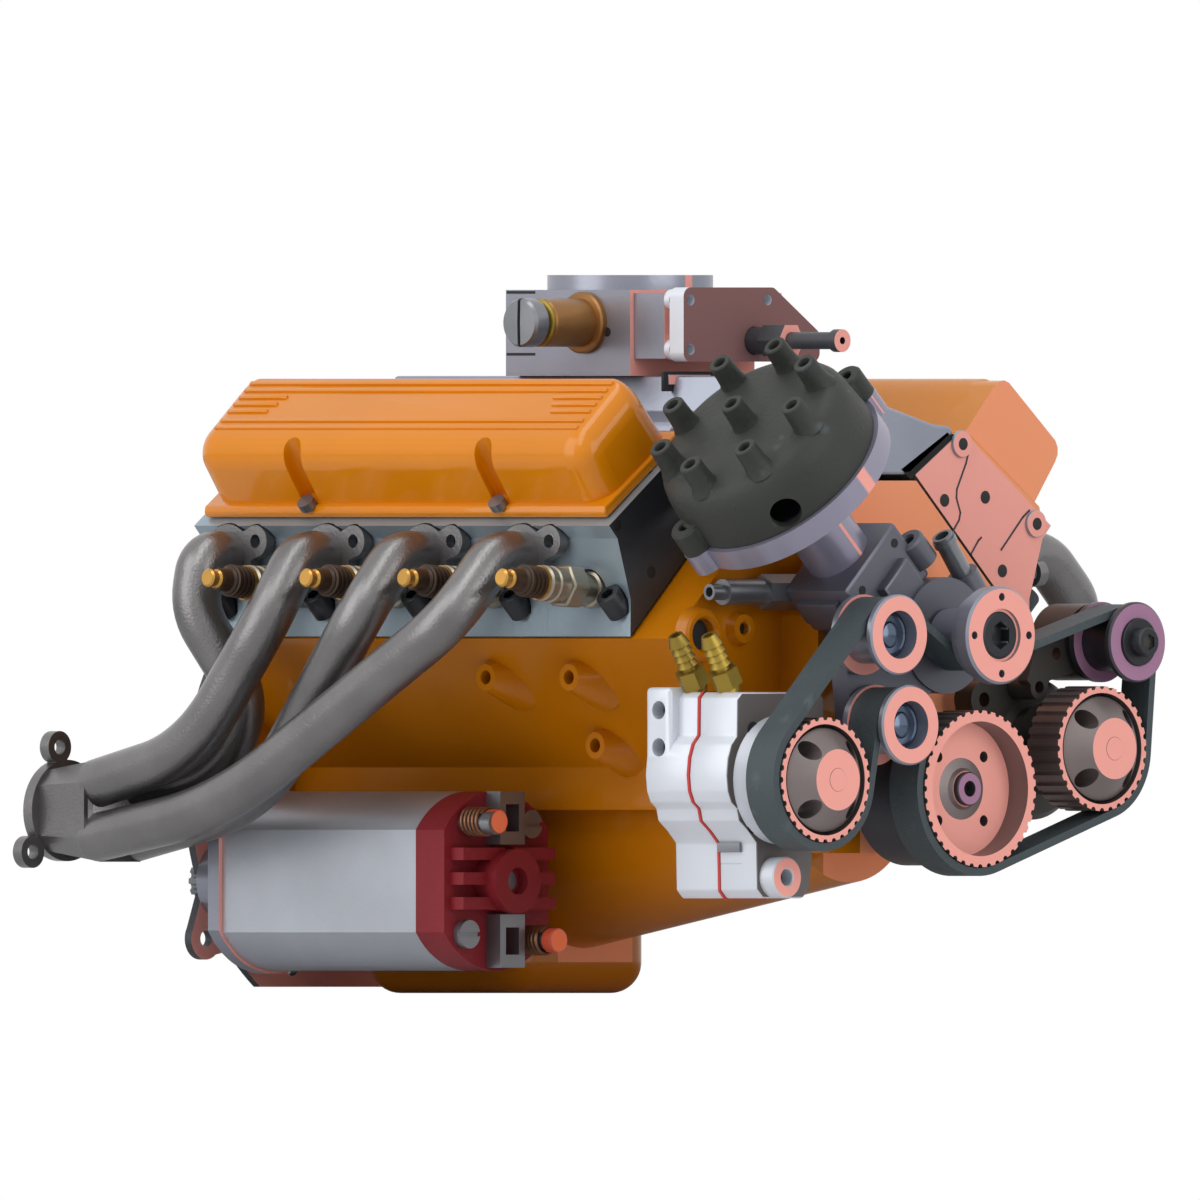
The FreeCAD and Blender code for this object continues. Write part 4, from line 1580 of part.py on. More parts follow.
def tensioner_bracket():
    """The tensioner's arm, its spring barrel and the post that carries the idler."""
    arm_start = "(size.idler_front + 10.4)"
    arm = prism([("size.tension_side + 3.4", "size.tension_height + 1"),
                 ("size.tension_side - 3", "size.tension_height + 3.6"),
                 ("22.4", "24.8"), ("19.8", "17.5"), ("22.5", "15.4"), ("25", "17.5"),
                 ("size.tension_side - 2", "size.tension_height - 4.4")],
                "front", arm_start, "size.bracket_thickness")
    barrel = rod("size.barrel_radius", "size.barrel_length", "size.tension_side", arm_start,
                 "size.tension_height")
    post = rod("size.post_radius * 0.4", "9.4", "size.tension_side", "size.idler_front + 1.2",
               "size.tension_height")
    washer = rod("size.idler_bore - 0.3", "0.5", "size.tension_side", "size.idler_front - 0.5",
                 "size.tension_height")
    screw = less(rod("2.2", "2", "size.tension_side", "size.idler_front - 2.2", "size.tension_height"),
                 hexagon("1.2", "1.4", "size.tension_side", "size.idler_front - 2.6", "size.tension_height"))
    stem = rod("size.post_radius * 0.4", "3.4", "size.tension_side", "size.idler_front - 2",
               "size.tension_height")
    tail = rod("2", "size.accessory_front + 1.95 - %s" % arm_start, "22.6", arm_start, "16.4")
    holes = [rod("1", "9", "26.5", arm_start + " - 2", "21.8"),
             rod("1", "9", "22.6", arm_start + " - 2", "16.4")]
    keep(less(fused(arm, barrel, post, stem, washer, screw, tail), *holes), "tensioner_bracket")


# Starter, rear plate and pinion

def flattened(radius, flat, start, length):
    """A round bar with two upright flats."""
    bar = rod(radius, length, "0", start)
    near = block("size.starter_radius", length + " + 2", "4 * size.starter_radius",
                 "-1 * (%s) - size.starter_radius" % flat, start + " - 1", "-2 * size.starter_radius")
    far = block("size.starter_radius", length + " + 2", "4 * size.starter_radius", flat, start + " - 1",
                "-2 * size.starter_radius")
    return less(bar, near, far)


def starter():
    can = less(flattened("size.starter_radius", "size.starter_flat", "size.starter_front",
                         "size.starter_length"),
               flattened("size.starter_radius - size.starter_wall", "size.starter_flat - size.starter_wall",
                         "size.starter_front - 1", "size.starter_length"),
               rod("size.motor_shaft + size.running_gap", "size.starter_length + 4", "0",
                   "size.starter_front"))
    keep(place(can, "size.starter_side", "0", "size.starter_height"), "starter_can")
    bell_start = "(size.starter_front - size.bell_length)"
    bell = fused(flattened("size.starter_radius", "size.starter_flat", bell_start, "size.bell_length - 0.02"),
                 rod("size.bell_boss", "size.bell_boss_reach + 1", "0",
                     bell_start + " - size.bell_boss_reach"))
    ribs = [block("9.5", "3.2", "2", "1", bell_start + " - 3", z) for z in ("3.4", "-0.6", "-4.6")]
    ribs += [block("9.5", "3.2", "2", "-10.5", bell_start + " - 3", z) for z in ("3.4", "-0.6", "-4.6")]
    recess = flattened("size.starter_radius - 1.6", "size.starter_flat - 1.6", bell_start + " + 1.6",
                       "size.bell_length")
    keep(place(less(fused(bell, *ribs), recess,
                    rod("size.motor_shaft + size.running_gap", "12", "0", bell_start + " - 3.5"),
                    rod("2.2", "3", "0", bell_start + " - size.bell_boss_reach - 1")),
               "size.starter_side", "0", "size.starter_height"), "starter_end_bell")
    mount_start = "(size.starter_front + size.starter_length + 0.02)"
    mount = less(fused(flattened("size.starter_radius + 0.5", "size.starter_flat + 0.8", mount_start,
                                 "size.starter_plate - 0.04")),
                 rod("size.motor_shaft + size.running_gap", "6", "0", mount_start + " - 1"))
    spacer = less(rod("6.5", "-1 * %s - size.starter_plate" % mount_start, "0",
                      mount_start + " + size.starter_plate - 0.04"),
                  rod("size.pinion_radius + 0.8", "20", "0", "-6.4"),
                  rod("size.motor_shaft + size.running_gap", "20", "0", mount_start))
    keep(place(fused(mount, spacer), "size.starter_side", "0", "size.starter_height"),
         "starter_mounting_plate")
    holder = less(block("5.6", "3.2", "8.6", "-2.8", "0", "-4.3"),
                  block("3", "5", "4.4", "-1.5", "-1", "-2.2"))
    spring_post = fused(rod("1.4", "5.5", "0", "-4"), rod("1.9", "2", "0", "-6"))
    screw = less(turned([("0", "0"), ("2.3", "0"), ("2.3", "1.6"), ("0", "1.6")]),
                 block("6", "0.7", "0.7", "-3", "-0.1", "-0.35"))
    parts = []
    face = bell_start
    for x, z in (("0.5", "10.2"), ("0.5", "-9.7")):
        parts.append(copy_of(holder, x, face + " - 3.22", z))
    for x, z in (("-7.4", "9.4"), ("6.8", "-9.6")):
        parts.append(copy_of(spring_post, x, face + " - 1.52", z))
    for x, z in (("6.6", "9.2"), ("-7.6", "-8.6")):
        parts.append(copy_of(screw, x, face + " - 1.62", z))
    keep(place(group(parts), "size.starter_side", "0", "size.starter_height"), "brush_terminals")
    shaft_start = "(%s - 3)" % bell_start
    shaft = rod("size.motor_shaft", "-1 * %s + 4.2" % shaft_start, "0", shaft_start)
    stack = rod("9.4", "size.starter_length - 14", "0", "size.starter_front + 9")
    commutator = rod("4.4", "7", "0", "size.starter_front + 1")
    pinion = place(toothed_wheel("size.pinion_radius", "size.pinion_teeth", "0.5", "2.6",
                                 "size.motor_shaft - 0.2"), "0", "1.7")
    keep(place(fused(shaft, stack, commutator, pinion), "size.starter_side", "0", "size.starter_height"),
         "starter_armature")


def rear_plate():
    disc = rod("size.plate_round", "size.rear_plate")
    ear = rod("3.4", "size.rear_plate", "size.ear_side", "0", "size.ear_height")
    web = prism([("-30", "-26"), ("size.ear_side - 1", "size.ear_height - 3.2"),
                 ("size.ear_side - 3.2", "size.ear_height + 1"), ("-34", "-8"), ("-20", "-8")],
                "front", "0", "size.rear_plate")
    cuts = [rod("size.journal_radius + 0.5", "8", "0", "-1"),
            rod("1.3", "8", "size.ear_side", "-1", "size.ear_height"),
            rod("5.4", "8", "size.starter_side", "-1", "size.starter_height"),
            block("100", "8", "20", "-50", "-1", "-52")]
    for number in range(6):
        angle = "%d * 60" % number
        cuts.append(rod("size.circle_hole", "6", "size.circle_radius * cos(%s)" % angle, "-2",
                        "size.circle_radius * sin(%s)" % angle))
    keep(less(fused(disc, ear, web), *cuts), "rear_plate")


def throttle_plate():
    plate = rod("size.throttle_bore - 0.15", "0.8", "0", "0", "-0.4", "Z")
    shaft = rod("size.throttle_shaft", "2 * size.throttle_half + size.valve_half_length - 2", "0",
                "-size.throttle_half - size.valve_half_length + 0.5")
    keep(place(fused(plate, shaft), "0", "size.throttle_place", "size.shaft_height"), "throttle_plate")


# Build everything, check it, and write it out

cylinder_block()
cylinder_sleeves()
main_bearing_caps()
crank_throws()
pistons_and_rods()
oil_pan()
cylinder_head(NEAR, "near_cylinder_head")
cylinder_head(FAR, "far_cylinder_head")
valve_cover(NEAR, "near_valve_cover")
valve_cover(FAR, "far_valve_cover")
cover_screws()
head_bolts()
gaskets()
valve_train()
spark_plugs()
exhaust_manifold(NEAR, "near_exhaust_manifold")
exhaust_manifold(FAR, "far_exhaust_manifold")
intake_manifold()
throttle_body()
sensor_plate()
hose_nozzle()
idle_valve()
timing_cover()
timing_chain()
distributor_housing()
distributor_cap()
distributor_rotor()
camshaft()
crank_pulley()
crank_damper()
crank_ends()
flywheel()
small_pulley("accessory_pulley", "size.accessory_side", "size.accessory_height", "(size.accessory_front + 6)")
small_pulley("oil_pump_pulley", "size.oil_side", "size.oil_height", "(size.oil_rear - 4)", oil_drive_gear())
idler("upper_idler", "size.upper_side", "size.upper_height")
idler("lower_idler", "size.lower_side", "size.lower_height")
idler("tensioner_idler", "size.tension_side", "size.tension_height", True)
water_pump_hub()
drive_belt()
water_pump_housing()
coolant_nipples()
oil_pump()
pump_nipples()
accessory_housing()
tensioner_bracket()
starter()
rear_plate()
throttle_plate()

document.recompute()
failed = [item.Label for item in document.Objects if "Invalid" in item.State or "Error" in item.State]
if failed:
    raise RuntimeError("objects that failed: %s" % ", ".join(failed))
for item in kept:
    if item.Shape.isNull() or not item.Shape.isValid() or not item.Shape.Solids:
        raise RuntimeError("sub-part with a bad shape: %s" % item.Label)
os.makedirs("parts", exist_ok=True)
for item in kept:
    item.Shape.exportStep("parts/%s.step" % item.Label)
print("wrote %d sub-parts" % len(kept))
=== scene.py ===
"""A small eight cylinder engine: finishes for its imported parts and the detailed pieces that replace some.

The numbers are millimetres in the engine's own frame: the crankshaft's axis is X = 0, Z = 0, the block's rear
face is Y = 0, the front of the engine is -Y, the near bank leans to -X and +Z is up.
"""

import json
import math

import bmesh
import bpy
from bpy.props import FloatProperty, FloatVectorProperty, PointerProperty
from bpy.types import Operator, Panel, PropertyGroup
from mathutils import Matrix, Vector


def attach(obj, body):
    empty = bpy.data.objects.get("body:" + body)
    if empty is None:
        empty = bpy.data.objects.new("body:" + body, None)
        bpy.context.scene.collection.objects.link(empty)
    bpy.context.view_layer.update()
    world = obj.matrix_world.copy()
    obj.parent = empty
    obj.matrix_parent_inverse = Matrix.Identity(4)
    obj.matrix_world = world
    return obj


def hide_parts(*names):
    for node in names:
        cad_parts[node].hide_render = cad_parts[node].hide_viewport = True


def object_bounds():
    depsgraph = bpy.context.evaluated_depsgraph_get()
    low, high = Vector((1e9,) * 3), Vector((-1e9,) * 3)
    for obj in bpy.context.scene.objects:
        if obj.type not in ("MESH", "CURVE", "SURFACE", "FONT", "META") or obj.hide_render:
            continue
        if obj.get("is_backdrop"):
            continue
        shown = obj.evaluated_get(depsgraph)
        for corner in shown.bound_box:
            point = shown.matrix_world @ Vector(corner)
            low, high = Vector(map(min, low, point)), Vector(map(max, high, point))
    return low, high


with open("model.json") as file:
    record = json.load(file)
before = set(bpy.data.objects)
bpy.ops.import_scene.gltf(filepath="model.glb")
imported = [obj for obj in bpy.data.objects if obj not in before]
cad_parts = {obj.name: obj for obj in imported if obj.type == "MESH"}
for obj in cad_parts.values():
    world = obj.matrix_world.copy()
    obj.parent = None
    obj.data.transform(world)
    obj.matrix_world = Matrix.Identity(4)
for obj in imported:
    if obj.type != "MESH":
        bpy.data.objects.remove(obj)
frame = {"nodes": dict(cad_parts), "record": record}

bl_info = {
    "name": "Small V8 engine",
    "version": (1, 0, 0),
    "blender": (4, 5, 0),
    "location": "3D Viewport > Sidebar > Engine",
    "description": "Dresses the packed parts of a small V8 engine and builds its detailed pieces",
    "category": "Object",
}

MM = 0.001
HALF = math.sqrt(0.5)
NEAR = -1
FAR = 1
NODE_FINISH = {part["node"]: part["material_slot"] for part in frame["record"]["subparts"]}

# Parts that look different from the rest of their material

NODE_LOOKS = {"sensor_plate": "sensor_face", "distributor_housing": "distributor_alloy",
              "water_pump_housing": "pump_grey", "tensioner_bracket": "bracket_dark",
              "accessory_housing": "bracket_dark"}

# Places along the engine and across it

BLOCK_FRONT = -110.6
NEAR_HEAD_FRONT = -101.7
FIRST_BORE = -20.7
BORE_PITCH = 22.35
FAR_BANK_BACK = 8.9
PUMP_AXIS = (-35.4, 1.45)
PUMP_FRONT = -129.7
PUMP_SPLIT = -121.3
PUMP_STANDOFF = (-36.5, -14.3)
PUMP_EAR = (-113.9, (12.7, 6.7))
THROTTLE_SIDE = -14.2
THROTTLE_PLACE = -60.5
TENSIONER = (34.7, 23.7)
IDLERS = ((-19.7, 24.9), (-17.1, 10.3))
WATER_PUMP_HEIGHT = 24.8
RINGED_BOSS = (-35.0, 24.9)
SMALL_BOSS = (-25.5, 25.9)
INTAKE_FRONT = -110.4


# Shader node groups

def new_group(name, inputs, outputs):
    """An empty shader node group with named number sockets; the inputs have defaults."""
    group = bpy.data.node_groups.new(name, "ShaderNodeTree")
    for label, default in inputs.items():
        socket = group.interface.new_socket(name=label, in_out="INPUT", socket_type="NodeSocketFloat")
        socket.default_value = default
    for label in outputs:
        group.interface.new_socket(name=label, in_out="OUTPUT", socket_type="NodeSocketFloat")
    return group, group.nodes.new("NodeGroupInput"), group.nodes.new("NodeGroupOutput")


def fill(made, inputs):
    """Set a node's inputs by name or number."""
    for label, value in inputs.items():
        made.inputs[label].default_value = value


def node(tree, kind, inputs=None, **values):
    """A node with its properties set and its inputs filled."""
    made = tree.nodes.new(kind)
    for label, value in values.items():
        setattr(made, label, value)
    fill(made, inputs or {})
    return made


def grain_group():
    """Fine grain and a slow change of tone over a surface."""
    group, ask, give = new_group("surface_grain", {"Size": 900.0, "Tone size": 60.0, "Tone spread": 0.1},
                                 ("Height", "Tone"))
    place = node(group, "ShaderNodeTexCoord")
    fine = node(group, "ShaderNodeTexNoise", {"Detail": 4.0})
    slow = node(group, "ShaderNodeTexNoise", {"Detail": 3.0})
    spread = node(group, "ShaderNodeMapRange", {"From Min": 0.3, "From Max": 0.7})
    low = node(group, "ShaderNodeMath", {0: 1.0}, operation="SUBTRACT")
    high = node(group, "ShaderNodeMath", {0: 1.0}, operation="ADD")
    link = group.links.new
    link(place.outputs["Object"], fine.inputs["Vector"])
    link(place.outputs["Object"], slow.inputs["Vector"])
    link(ask.outputs["Size"], fine.inputs["Scale"])
    link(ask.outputs["Tone size"], slow.inputs["Scale"])
    link(ask.outputs["Tone spread"], low.inputs[1])
    link(ask.outputs["Tone spread"], high.inputs[1])
    link(slow.outputs["Fac"], spread.inputs["Value"])
    link(low.outputs[0], spread.inputs["To Min"])
    link(high.outputs[0], spread.inputs["To Max"])
    link(fine.outputs["Fac"], give.inputs["Height"])
    link(spread.outputs["Result"], give.inputs["Tone"])
    return group


def front_group():
    """Masks of faces turned straight ahead, for painted front light: those beyond an X, and those short of
    it.
    """
    group, ask, give = new_group("painted_front_light", {"From X": -1.0}, ("Beyond", "Short"))
    place = node(group, "ShaderNodeTexCoord")
    apart = node(group, "ShaderNodeSeparateXYZ")
    where = node(group, "ShaderNodeSeparateXYZ")
    facing = node(group, "ShaderNodeMapRange", {"From Min": -0.9975, "From Max": -0.9990})
    over = node(group, "ShaderNodeMath", operation="GREATER_THAN")
    beyond = node(group, "ShaderNodeMath", operation="MULTIPLY")
    short = node(group, "ShaderNodeMath", operation="SUBTRACT")
    link = group.links.new
    link(place.outputs["Normal"], apart.inputs["Vector"])
    link(place.outputs["Object"], where.inputs["Vector"])
    link(apart.outputs["Y"], facing.inputs["Value"])
    link(where.outputs["X"], over.inputs[0])
    link(ask.outputs["From X"], over.inputs[1])
    link(facing.outputs["Result"], beyond.inputs[0])
    link(over.outputs[0], beyond.inputs[1])
    link(facing.outputs["Result"], short.inputs[0])
    link(beyond.outputs[0], short.inputs[1])
    link(beyond.outputs[0], give.inputs["Beyond"])
    link(short.outputs[0], give.inputs["Short"])
    return group


def wear_group():
    """A mask of light rubbed spots, for edges and handled metal."""
    group, ask, give = new_group("rubbed_spots", {"Size": 220.0, "Share": 0.35}, ("Mask",))
    place = node(group, "ShaderNodeTexCoord")
    spots = node(group, "ShaderNodeTexNoise", {"Detail": 6.0})
    cut = node(group, "ShaderNodeMapRange")
    upper = node(group, "ShaderNodeMath", {1: 0.15}, operation="ADD")
    flip = node(group, "ShaderNodeMath", {0: 0.9}, operation="SUBTRACT")
    link = group.links.new
    link(place.outputs["Object"], spots.inputs["Vector"])
    link(ask.outputs["Size"], spots.inputs["Scale"])
    link(spots.outputs["Fac"], cut.inputs["Value"])
    link(ask.outputs["Share"], flip.inputs[1])
    link(flip.outputs[0], cut.inputs["From Min"])
    link(flip.outputs[0], upper.inputs[0])
    link(upper.outputs[0], cut.inputs["From Max"])
    link(cut.outputs["Result"], give.inputs["Mask"])
    return group


def use_group(tree, name, maker, inputs):
    """A node that holds a shared group, which is built once."""
    return node(tree, "ShaderNodeGroup", inputs, node_tree=bpy.data.node_groups.get(name) or maker())


def linear(colour):
    """A colour written as 0-255 sRGB, in the renderer's own linear values."""
    found = []
    for part in colour:
        part = part / 255
        found.append(part / 12.92 if part <= 0.04045 else ((part + 0.055) / 1.055) ** 2.4)
    return (*found, 1.0)


def finish(name, colour, metallic, roughness, grain, depth, tone, spread, coat=0.0, front=None,
           from_x=-1000.0, near_front=None, rubbed=None, specular=0.5):
    """One finish: a base colour that drifts slowly and fine grain, with a painted front light where asked.

    The painted front light lies on faces turned straight forward whose X is over from_x; near_front paints
    shade on the rest of those faces.
    """
    material = bpy.data.materials.new(FINISH_NAME % name)
    material.use_nodes = True
    tree = material.node_tree
    link = tree.links.new
    shader = tree.nodes["Principled BSDF"]
    fill(shader, {"Metallic": metallic, "Roughness": roughness, "Specular IOR Level": specular,
                  "Coat Weight": coat, "Coat Roughness": 0.05})
    material.diffuse_color = linear(colour)
    grains = use_group(tree, "surface_grain", grain_group,
                       {"Size": grain, "Tone size": tone, "Tone spread": spread})
    colour_out = toned(tree, grains, linear(colour))
    if rubbed:
        spots = use_group(tree, "rubbed_spots", wear_group, {"Share": rubbed[1]})
        colour_out = over_colour(tree, spots.outputs["Mask"], colour_out, rubbed[0])
    # Painted front light: faces turned straight ahead get a pale colour, no metal, no coat and more
    # roughness.
    if front:
        mask = use_group(tree, "painted_front_light", front_group, {"From X": from_x * MM})
        colour_out = over_colour(tree, mask.outputs["Beyond"], colour_out, front)
        # near_front paints shade on the front faces that are short of from_x.
        if near_front:
            colour_out = over_colour(tree, mask.outputs["Short"], colour_out, near_front)
        for label, plain, front_lit_value in (("Metallic", metallic, 0.0), ("Roughness", roughness, 0.75),
                                     ("Coat Weight", coat, 0.0)):
            if plain != front_lit_value:
                change = node(tree, "ShaderNodeMapRange", {"To Min": plain, "To Max": front_lit_value})
                link(mask.outputs["Beyond"], change.inputs["Value"])
                link(change.outputs["Result"], shader.inputs[label])
    link(colour_out, shader.inputs["Base Color"])
    if depth:
        bump = node(tree, "ShaderNodeBump", {"Strength": 0.6, "Distance": depth * MM})
        link(grains.outputs["Height"], bump.inputs["Height"])
        link(bump.outputs["Normal"], shader.inputs["Normal"])
    return material


def toned(tree, grains, colour):
    """A colour multiplied by the grain group's tone."""
    shade = node(tree, "ShaderNodeMix", {"Factor": 1.0, 6: colour}, data_type="RGBA", blend_type="MULTIPLY")
    tree.links.new(grains.outputs["Tone"], shade.inputs[7])
    return shade.outputs[2]


def over_colour(tree, mask, below, colour):
    """Lay a colour over another where a mask is 1."""
    blend = node(tree, "ShaderNodeMix", {7: linear(colour)}, data_type="RGBA")
    tree.links.new(mask, blend.inputs["Factor"])
    tree.links.new(below, blend.inputs[6])
    return blend.outputs[2]


FINISH_NAME = "%s_surface"
# Painted front light: the pale colours that faces turned to the front take on metal, orange paint and purple.
FRONT_LIT_METAL = (255, 172, 158)
FRONT_LIT_PAINT = (255, 164, 120)
FRONT_LIT_PURPLE = (168, 122, 152)


def make_finishes(sizes):
    """Every finish, by its material slot or its own name."""
    paint = tuple(255 * c for c in sizes.paint_colour)
    head = tuple(255 * c for c in sizes.head_colour)
    made = {}

    # A front= colour paints front light on a finish's faces turned straight ahead; from_x keeps it to one
    # side.
    def add(name, *values, **extras):
        made[name] = finish(name, *values, **extras)

    # The block's paint is the covers' paint made darker by 0.87: painted shade.
    add("block_paint", tuple(0.87 * c for c in paint), 0.0, 0.3, 1500, 0.03, 40, 0.06, coat=0.3,
        front=FRONT_LIT_PAINT, from_x=-6.0, specular=0.2)
    add("cover_paint", paint, 0.0, 0.26, 900, 0.02, 30, 0.05, coat=0.45, front=FRONT_LIT_PAINT, from_x=0.0,
        specular=0.2)
    # near_front paints the distributor's shadow on the near head's front face.
    add("head_casting", head, 0.55, 0.36, 1100, 0.07, 50, 0.08, front=FRONT_LIT_METAL, from_x=0.0,
        near_front=(66, 70, 74))
    add("intake_casting", (150, 155, 168), 0.6, 0.36, 1000, 0.05, 50, 0.08)
    add("machined_aluminium", (146, 148, 160), 0.6, 0.32, 1200, 0.03, 60, 0.06, front=FRONT_LIT_METAL)
    add("distributor_alloy", (150, 146, 164), 0.6, 0.34, 1200, 0.03, 60, 0.06, front=FRONT_LIT_METAL)
    add("white_aluminium", (214, 218, 226), 0.2, 0.4, 900, 0.03, 60, 0.03)
    add("pump_boss", (214, 218, 226), 0.2, 0.4, 900, 0.03, 60, 0.03, front=FRONT_LIT_METAL)
    add("pump_grey", (104, 104, 114), 0.5, 0.4, 1100, 0.04, 70, 0.06)
    add("bracket_dark", (66, 62, 58), 0.4, 0.45, 1100, 0.05, 70, 0.1)
    # pump_face is a grey-brown that paints the shade on the oil pump's white front face.
    add("pump_face", (104, 98, 96), 0.3, 0.5, 1100, 0.06, 70, 0.06)
    add("tube_steel", (120, 118, 118), 0.8, 0.3, 2200, 0.12, 90, 0.12)
    add("plug_plating", (150, 142, 126), 0.8, 0.3, 900, 0.03, 80, 0.08)
    add("dark_plate", (72, 74, 78), 0.5, 0.46, 900, 0.05, 70, 0.1, front=FRONT_LIT_METAL)
    add("sensor_face", (226, 230, 238), 0.2, 0.4, 900, 0.03, 70, 0.04, front=(132, 92, 90))
    add("black_screws", (44, 46, 50), 0.5, 0.42, 1300, 0.05, 120, 0.15, rubbed=((78, 80, 86), 0.3))
    add("shadowed_bore", (24, 24, 26), 0.2, 0.6, 1300, 0.03, 120, 0.2)
    add("bright_screws", (128, 130, 134), 0.75, 0.32, 1100, 0.03, 90, 0.12)
    add("pulley_steel", (128, 118, 116), 0.6, 0.38, 1500, 0.04, 70, 0.1, front=FRONT_LIT_METAL)
    add("damper_steel", (58, 62, 70), 0.55, 0.38, 1100, 0.04, 70, 0.08)
    add("purple_anodised", (66, 64, 70), 0.5, 0.4, 1100, 0.03, 70, 0.06, front=FRONT_LIT_PURPLE)
    add("belt_rubber", (70, 79, 82), 0.0, 0.6, 1700, 0.2, 80, 0.1, rubbed=((84, 94, 98), 0.3), specular=0.3)
    add("cap_moulding", (52, 54, 50), 0.0, 0.55, 1200, 0.16, 60, 0.14, rubbed=((74, 82, 84), 0.25),
        specular=0.3)
    add("rotor_moulding", (48, 48, 52), 0.0, 0.5, 800, 0.1, 60, 0.1, specular=0.3)
    add("brass", (150, 126, 50), 0.7, 0.34, 1300, 0.05, 90, 0.12)
    add("brown_brass", (146, 104, 58), 0.7, 0.38, 1500, 0.06, 90, 0.14)
    add("plug_brown", (58, 42, 30), 0.2, 0.4, 900, 0.04, 90, 0.12, specular=0.3)
    add("plug_gold", (188, 142, 70), 0.8, 0.28, 900, 0.03, 90, 0.1)
    add("gasket_paper", (40, 38, 38), 0.0, 0.8, 1500, 0.1, 90, 0.15, specular=0.2)
    add("red_seal", (196, 66, 62), 0.0, 0.6, 1200, 0.05, 80, 0.08, specular=0.3)
    add("starter_shell", (176, 180, 188), 0.55, 0.36, 1400, 0.04, 70, 0.07)
    add("red_moulding", (132, 34, 42), 0.0, 0.46, 1500, 0.08, 70, 0.1, specular=0.25)
    add("bearing_face", (92, 104, 122), 0.9, 0.16, 1500, 0.02, 90, 0.1)
    add("copper_wire", (130, 92, 70), 0.7, 0.35, 1500, 0.03, 90, 0.1)
    add("brush_end", (214, 84, 54), 0.0, 0.5, 1500, 0.03, 90, 0.1, front=(255, 128, 84))
    add("inner_iron", (92, 92, 96), 0.6, 0.5, 700, 0.08, 60, 0.12)
    add("inner_steel", (128, 130, 134), 0.7, 0.38, 900, 0.04, 70, 0.1)
    return made


def ready_finish(name):
    """A finish that make_finishes has already built."""
    found = bpy.data.materials.get(FINISH_NAME % name)
    if found is None:
        raise RuntimeError("the finish %s isn't built yet" % name)
    return found


# Shapes

def shift(x, y, z):
    """A move."""
    return Matrix.Translation((x, y, z))


def turn(degrees, axis="Y"):
    """A turn about an axis through the origin."""
    return Matrix.Rotation(math.radians(degrees), 4, axis)


def leaned(side):
    """From a bank's upright frame to the engine's: X is then across the bank and Z along its bores."""
    return turn(45 * side)


def aimed(place, direction):
    """A frame at a place whose Z points in a direction."""
    quaternion = Vector(direction).normalized().to_track_quat("Z", "Y")
    return Matrix.Translation(place) @ quaternion.to_matrix().to_4x4()


def ahead_at(x, y, z):
    """A frame at a place whose Z points to the engine's front."""
    return shift(x, y, z) @ FORWARD


FORWARD = turn(90, "X")


def add_lathe(bm, profile, matrix=None, steps=40):
    """A closed round form: (radius, height) pairs spun about Z, their ends on the axis or joined up."""
    corners = [bm.verts.new((radius, 0, height)) for radius, height in profile]
    edges = [bm.edges.new(pair) for pair in zip(corners, corners[1:])]
    if profile[0][0] > 0 and profile[-1][0] > 0:
        edges.append(bm.edges.new((corners[-1], corners[0])))
    bmesh.ops.spin(bm, geom=corners + edges, axis=(0, 0, 1), cent=(0, 0, 0), steps=steps, angle=2 * math.pi,
                   use_merge=True)
    skin = list({vert for edge in edges for vert in edge.verts} | set(linked_verts(corners)))
    skin = [vert for vert in skin if vert.is_valid]
    bmesh.ops.remove_doubles(bm, verts=skin, dist=0.0005)
    return settle(bm, [vert for vert in skin if vert.is_valid], matrix)


def add_rod(bm, radius, low, high, matrix=None, steps=24):
    """A cylinder along Z."""
    return add_lathe(bm, [(0, low), (radius, low), (radius, high), (0, high)], matrix, steps)


def linked_verts(start):
    """Every vertex joined to these ones."""
    seen = set(start)
    queue = list(start)
    while queue:
        for edge in queue.pop().link_edges:
            for vert in edge.verts:
                if vert not in seen:
                    seen.add(vert)
                    queue.append(vert)
    return seen


def settle(bm, verts, matrix=None):
    """Turn a shell's faces outwards and put it in place."""
    faces = list({face for vert in verts for face in vert.link_faces})
    bmesh.ops.recalc_face_normals(bm, faces=faces)
    if matrix is not None:
        bmesh.ops.transform(bm, matrix=matrix, verts=verts)
    return verts


def add_slab(bm, points, start, length, matrix=None, round_all=0.0, segments=2):
    """An outline of (X, Z) points, drawn out along Y."""
    corners = [bm.verts.new((x, start, z)) for x, z in points]
    face = bm.faces.new(corners)
    made = bmesh.ops.extrude_face_region(bm, geom=[face])
    moved = [item for item in made["geom"] if isinstance(item, bmesh.types.BMVert)]
    bmesh.ops.translate(bm, verts=moved, vec=(0, length, 0))
    verts = corners + moved
    bmesh.ops.recalc_face_normals(bm, faces=list({face for vert in verts for face in vert.link_faces}))
    if round_all:
        verts = soften(bm, verts, round_all, segments)
    return settle(bm, verts, matrix)


def soften(bm, verts, width, segments=2):
    """Round a shell's edges."""
    edges = list({edge for vert in verts for edge in vert.link_edges})
    edges = [edge for edge in edges if len(edge.link_faces) == 2 and edge.calc_face_angle(0) > 0.3]
    whole = linked_verts(verts)
    made = bmesh.ops.bevel(bm, geom=edges, offset=width, offset_type="OFFSET", segments=segments,
                           profile=0.5, affect="EDGES", clamp_overlap=True, material=-1)
    alive = [vert for vert in whole if vert.is_valid] + list(made["verts"])
    return list(linked_verts(alive[:1]))


